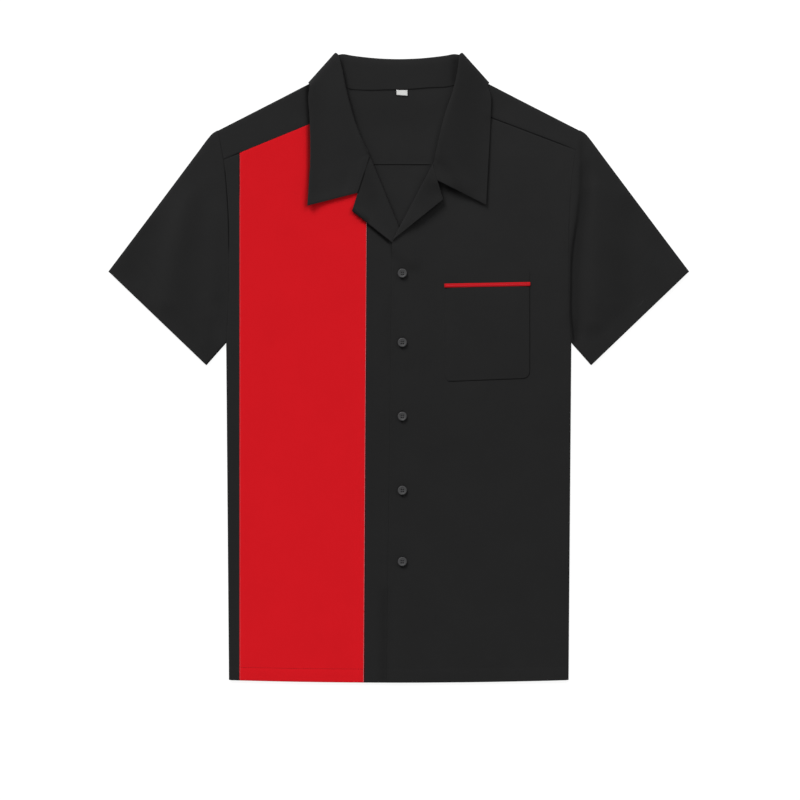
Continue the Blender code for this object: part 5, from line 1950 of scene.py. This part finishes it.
def sewShirt():
    black, red, panel, pale, pipingHighlight, bar = sewings = [
        Sewing("stitches" + name, thread) for name, thread in (
            ("Black", "blackThread"), ("Red", "redThread"), ("Panel", "panelThread"), ("Pale", "paleThread"),
            ("Piping", "pipingHighlightThread"), ("ShadeLine", "shadeLineThread"))]
    onBack, onYoke, onStrip, onPanel, onPlacket, onLeftFront, onPocket = (
        surfaceOf(node, place) for node, place in (
            ("back_body", placeBack), ("yoke", placeYoke), ("side_strip", placeRightPanel),
            ("red_panel", placeRightPanel), ("placket_right", placePlacket), ("front_left", placeLeftFront),
            ("pocket", placePocket)))
    down = -upwards
    side = sideHalf(stitchY) - fromEdge["side"]
    seamX, stripX, seamTop = panels["panelSeamHemX"], panels["stripSeamX"], panels["panelSeamTop"]
    low = body["hemY"] + 1

    def sew(sewing, surface, x1, y1, x2, y2, step=2, **kind):
        sewing.seam(surface, [Vector((x1, y1)), Vector((x2, y2))], step, **kind)

    # hem
    sew(black, onLeftFront, panels["leftEdgeHemX"] + 1, stitchY, side, stitchY)
    sew(black, onPlacket, seamX + 1, stitchY, -16, stitchY)
    sew(red, onPanel, stripX + 1, stitchY, seamX - 1, stitchY, **rowKinds["redHem"])
    sew(black, onStrip, -side, stitchY, stripX - 1, stitchY)
    sew(black, onBack, -side, stitchY, side, stitchY, up=down)

    # seams of the red panel
    away = fromEdge["panelSeam"]
    sew(panel, onPanel, seamX - away, low, seamTop.x - away, seamTop.y - 40, 1, **rowKinds["panelSeam"])
    x = stripX + away
    sew(panel, onPanel, x, low + 1, x, yokeSeamAt(x).y - 2, 1, **rowKinds["stripSeam"])

    # yoke seams, on the yoke's side and on the back
    for name, sign in (("right", -1), ("left", 1)):
        ends = offsetRun(*yokeSeams[name], -fromEdge["yokeSeam"] * sign)
        black.seam(lambda point: onYoke(shoulderRolls[sign].unfold(point)), ends)
    yokeY = body["yokeBackY"]
    reach = armholeHalf(yokeY) - 1
    for surface, y, up in ((onYoke, yokeY + fromEdge["yokeSeam"], down),
                           (onBack, yokeY - fromEdge["backSeam"], upwards)):
        sew(black, surface, -reach, y, reach, y, up=up)

    # front edges and lapels
    for name, roll, surface, inside in (("right", rightRoll, onPlacket, 1),
                                        ("left", leftRoll, onLeftFront, -1)):
        lapel, breakPoint = lapels[name], lapels[name]["breakPoint"]
        away = fromEdge["frontEdge"] * inside
        sew(black, surface, panels[name + "EdgeHemX"] - away, low, breakPoint.x - away, breakPoint.y - 4)
        away = -fromEdge["lapelEdge"] * inside
        start, corner = offsetRun(breakPoint, lapel["corner"], away)
        cornerEnd, end = offsetRun(lapel["corner"], lapel["notch"], away)
        points = [start.lerp(corner, 0.12), (corner + cornerEnd) / 2, end.lerp(cornerEnd, 0.1)]
        black.seam(lambda point: surface(roll.unfold(point)), points, **rowKinds["lapel"])

    sewPocket(black, onPocket)
    # very dark stitches beside the pocket's mouth paint the shadow of a narrow trough
    x, y = pocket["right"] + mouthShadeLine["x"], pocket["topRight"] + mouthShadeLine["y"]
    sew(bar, onLeftFront, x, y, x, y + mouthShadeLine["length"], 1, **rowKinds["mouthShadeLine"])
    # stitches along the piping's middle in pale pink thread, which paints its highlight
    y = fromEdge["piping"]
    sew(pipingHighlight, placePiping, 2, y, (pipingEnd - pipingStart).length - 2, y, **rowKinds["piping"])

    sewCollar(black)
    for rows in sleeveNets.values():
        column = sleeves["hemColumn"]
        ring = min(rows, key=lambda row: abs((row[column] - rows[-1][column]).length - sleeves["hemDepth"]))
        ring = ring + ring[:1]
        middle = sum(point.z for point in ring) / len(ring)
        black.row([point for point in ring if point.z > middle][2:-2])
        black.row([point for point in ring if point.z < middle - 1][2:-2], down)

    # tab and buttonholes
    for x in (tab["left"] + fromEdge["tab"], tab["left"] + tab["width"] - fromEdge["tab"]):
        sew(pale, placeTab, x, tabBottom(x) + 1.2, x, tab["top"] - 0.4, 0.5, **rowKinds["tab"])
    for y in buttons["y"]:
        sewButtonhole(black, Vector((buttons["x"], y)))
    return [sewing.finish() for sewing in sewings]


# Studio

studio = {
    "center": Vector((1.6, -41.9)) * mm,     # what the camera looks down on
    "width": 1.04,           # metres of floor across the picture
    "lens": 200,
    "sensor": 36,
    "floorHalf": 6,
    "floorColor": (0.96, 0.96, 0.96),
    "floorGlow": 0.8,        # how far the camera sees the floor as plain white
    "world": 0.5,
    "softness": math.radians(26),
    "height": math.radians(34),
    # strength, and turn from the top of the picture to the right
    "suns": {"keyLight": (2.95, math.radians(-27)), "fillLight": (0.65, math.radians(40))},
}


def cameraOnly(tree):
    return tree.nodes.new("ShaderNodeLightPath").outputs["Is Camera Ray"]


def makeFloor():
    bm = bmesh.new()
    bmesh.ops.create_grid(bm, x_segments=4, y_segments=4, size=studio["floorHalf"] / mm)
    tree, shader = newMaterial("paleFloor", None, 0.9, 0.1)
    grain = addNoise(tree, addNode(tree, "TexCoord", {})["Object"], 30, 3)
    shade = tuple(part * 0.985 for part in studio["floorColor"])
    feed(tree, shader.inputs["Base Color"], addMix(tree, grain, shade, studio["floorColor"]))
    glow = addNode(tree, "Emission", {"Strength": 1.1})[0]
    seen = addMath(tree, "MULTIPLY", cameraOnly(tree), studio["floorGlow"])
    mixed = addNode(tree, "MixShader", {0: seen, 1: shader.outputs[0], 2: glow})
    feed(tree, tree.nodes["Material Output"].inputs["Surface"], mixed[0])
    floor = toObject(bm, "floor", "paleFloor")
    floor.location.z = -0.00005


def makeStudio():
    makeFloor()
    height = studio["height"]
    for name, (strength, turn) in studio["suns"].items():
        light = bpy.data.lights.new(name, "SUN")
        light.energy = strength
        light.angle = studio["softness"]
        lamp = bpy.data.objects.new(name, light)
        side = math.cos(height)
        toSun = Vector((math.sin(turn) * side, math.cos(turn) * side, math.sin(height)))
        lamp.location = toSun * 3
        lamp.rotation_mode = "QUATERNION"
        lamp.rotation_quaternion = (-toSun).to_track_quat("-Z", "Y")
        bpy.context.scene.collection.objects.link(lamp)

    world = bpy.data.worlds.new("softWorld")
    world.use_nodes = True
    tree = world.node_tree
    background = tree.nodes["Background"]
    background.inputs["Color"].default_value = (1, 1, 1, 1)
    white = addMath(tree, "MULTIPLY", cameraOnly(tree), 1 - studio["world"])
    tree.links.new(addMath(tree, "ADD", white, studio["world"]), background.inputs["Strength"])
    bpy.context.scene.world = world
    bpy.context.scene.view_settings.view_transform = "Standard"

    lens = bpy.data.cameras.new("camera")
    lens.sensor_width = studio["sensor"]
    lens.lens = studio["lens"]
    camera = bpy.data.objects.new("camera", lens)
    height = studio["lens"] * studio["width"] / studio["sensor"]
    camera.location = (*studio["center"], height)
    bpy.context.scene.collection.objects.link(camera)
    bpy.context.scene.camera = camera


makeStudio()
makeBack()
makeYoke()
makeSideStrip()
makeRedPanel()
makePlacket()
makeLeftFront()
makeSleeve("sleeveRight", "sleeve_right", -1)
makeSleeve("sleeveLeft", "sleeve_left", 1)
makeCollar()
makePocket()
makePiping()
makeTab()
for number, y in enumerate(buttons["y"], 1):
    makeButton(number, Vector((buttons["x"], y)))
makeButtonThread()
sewShirt()
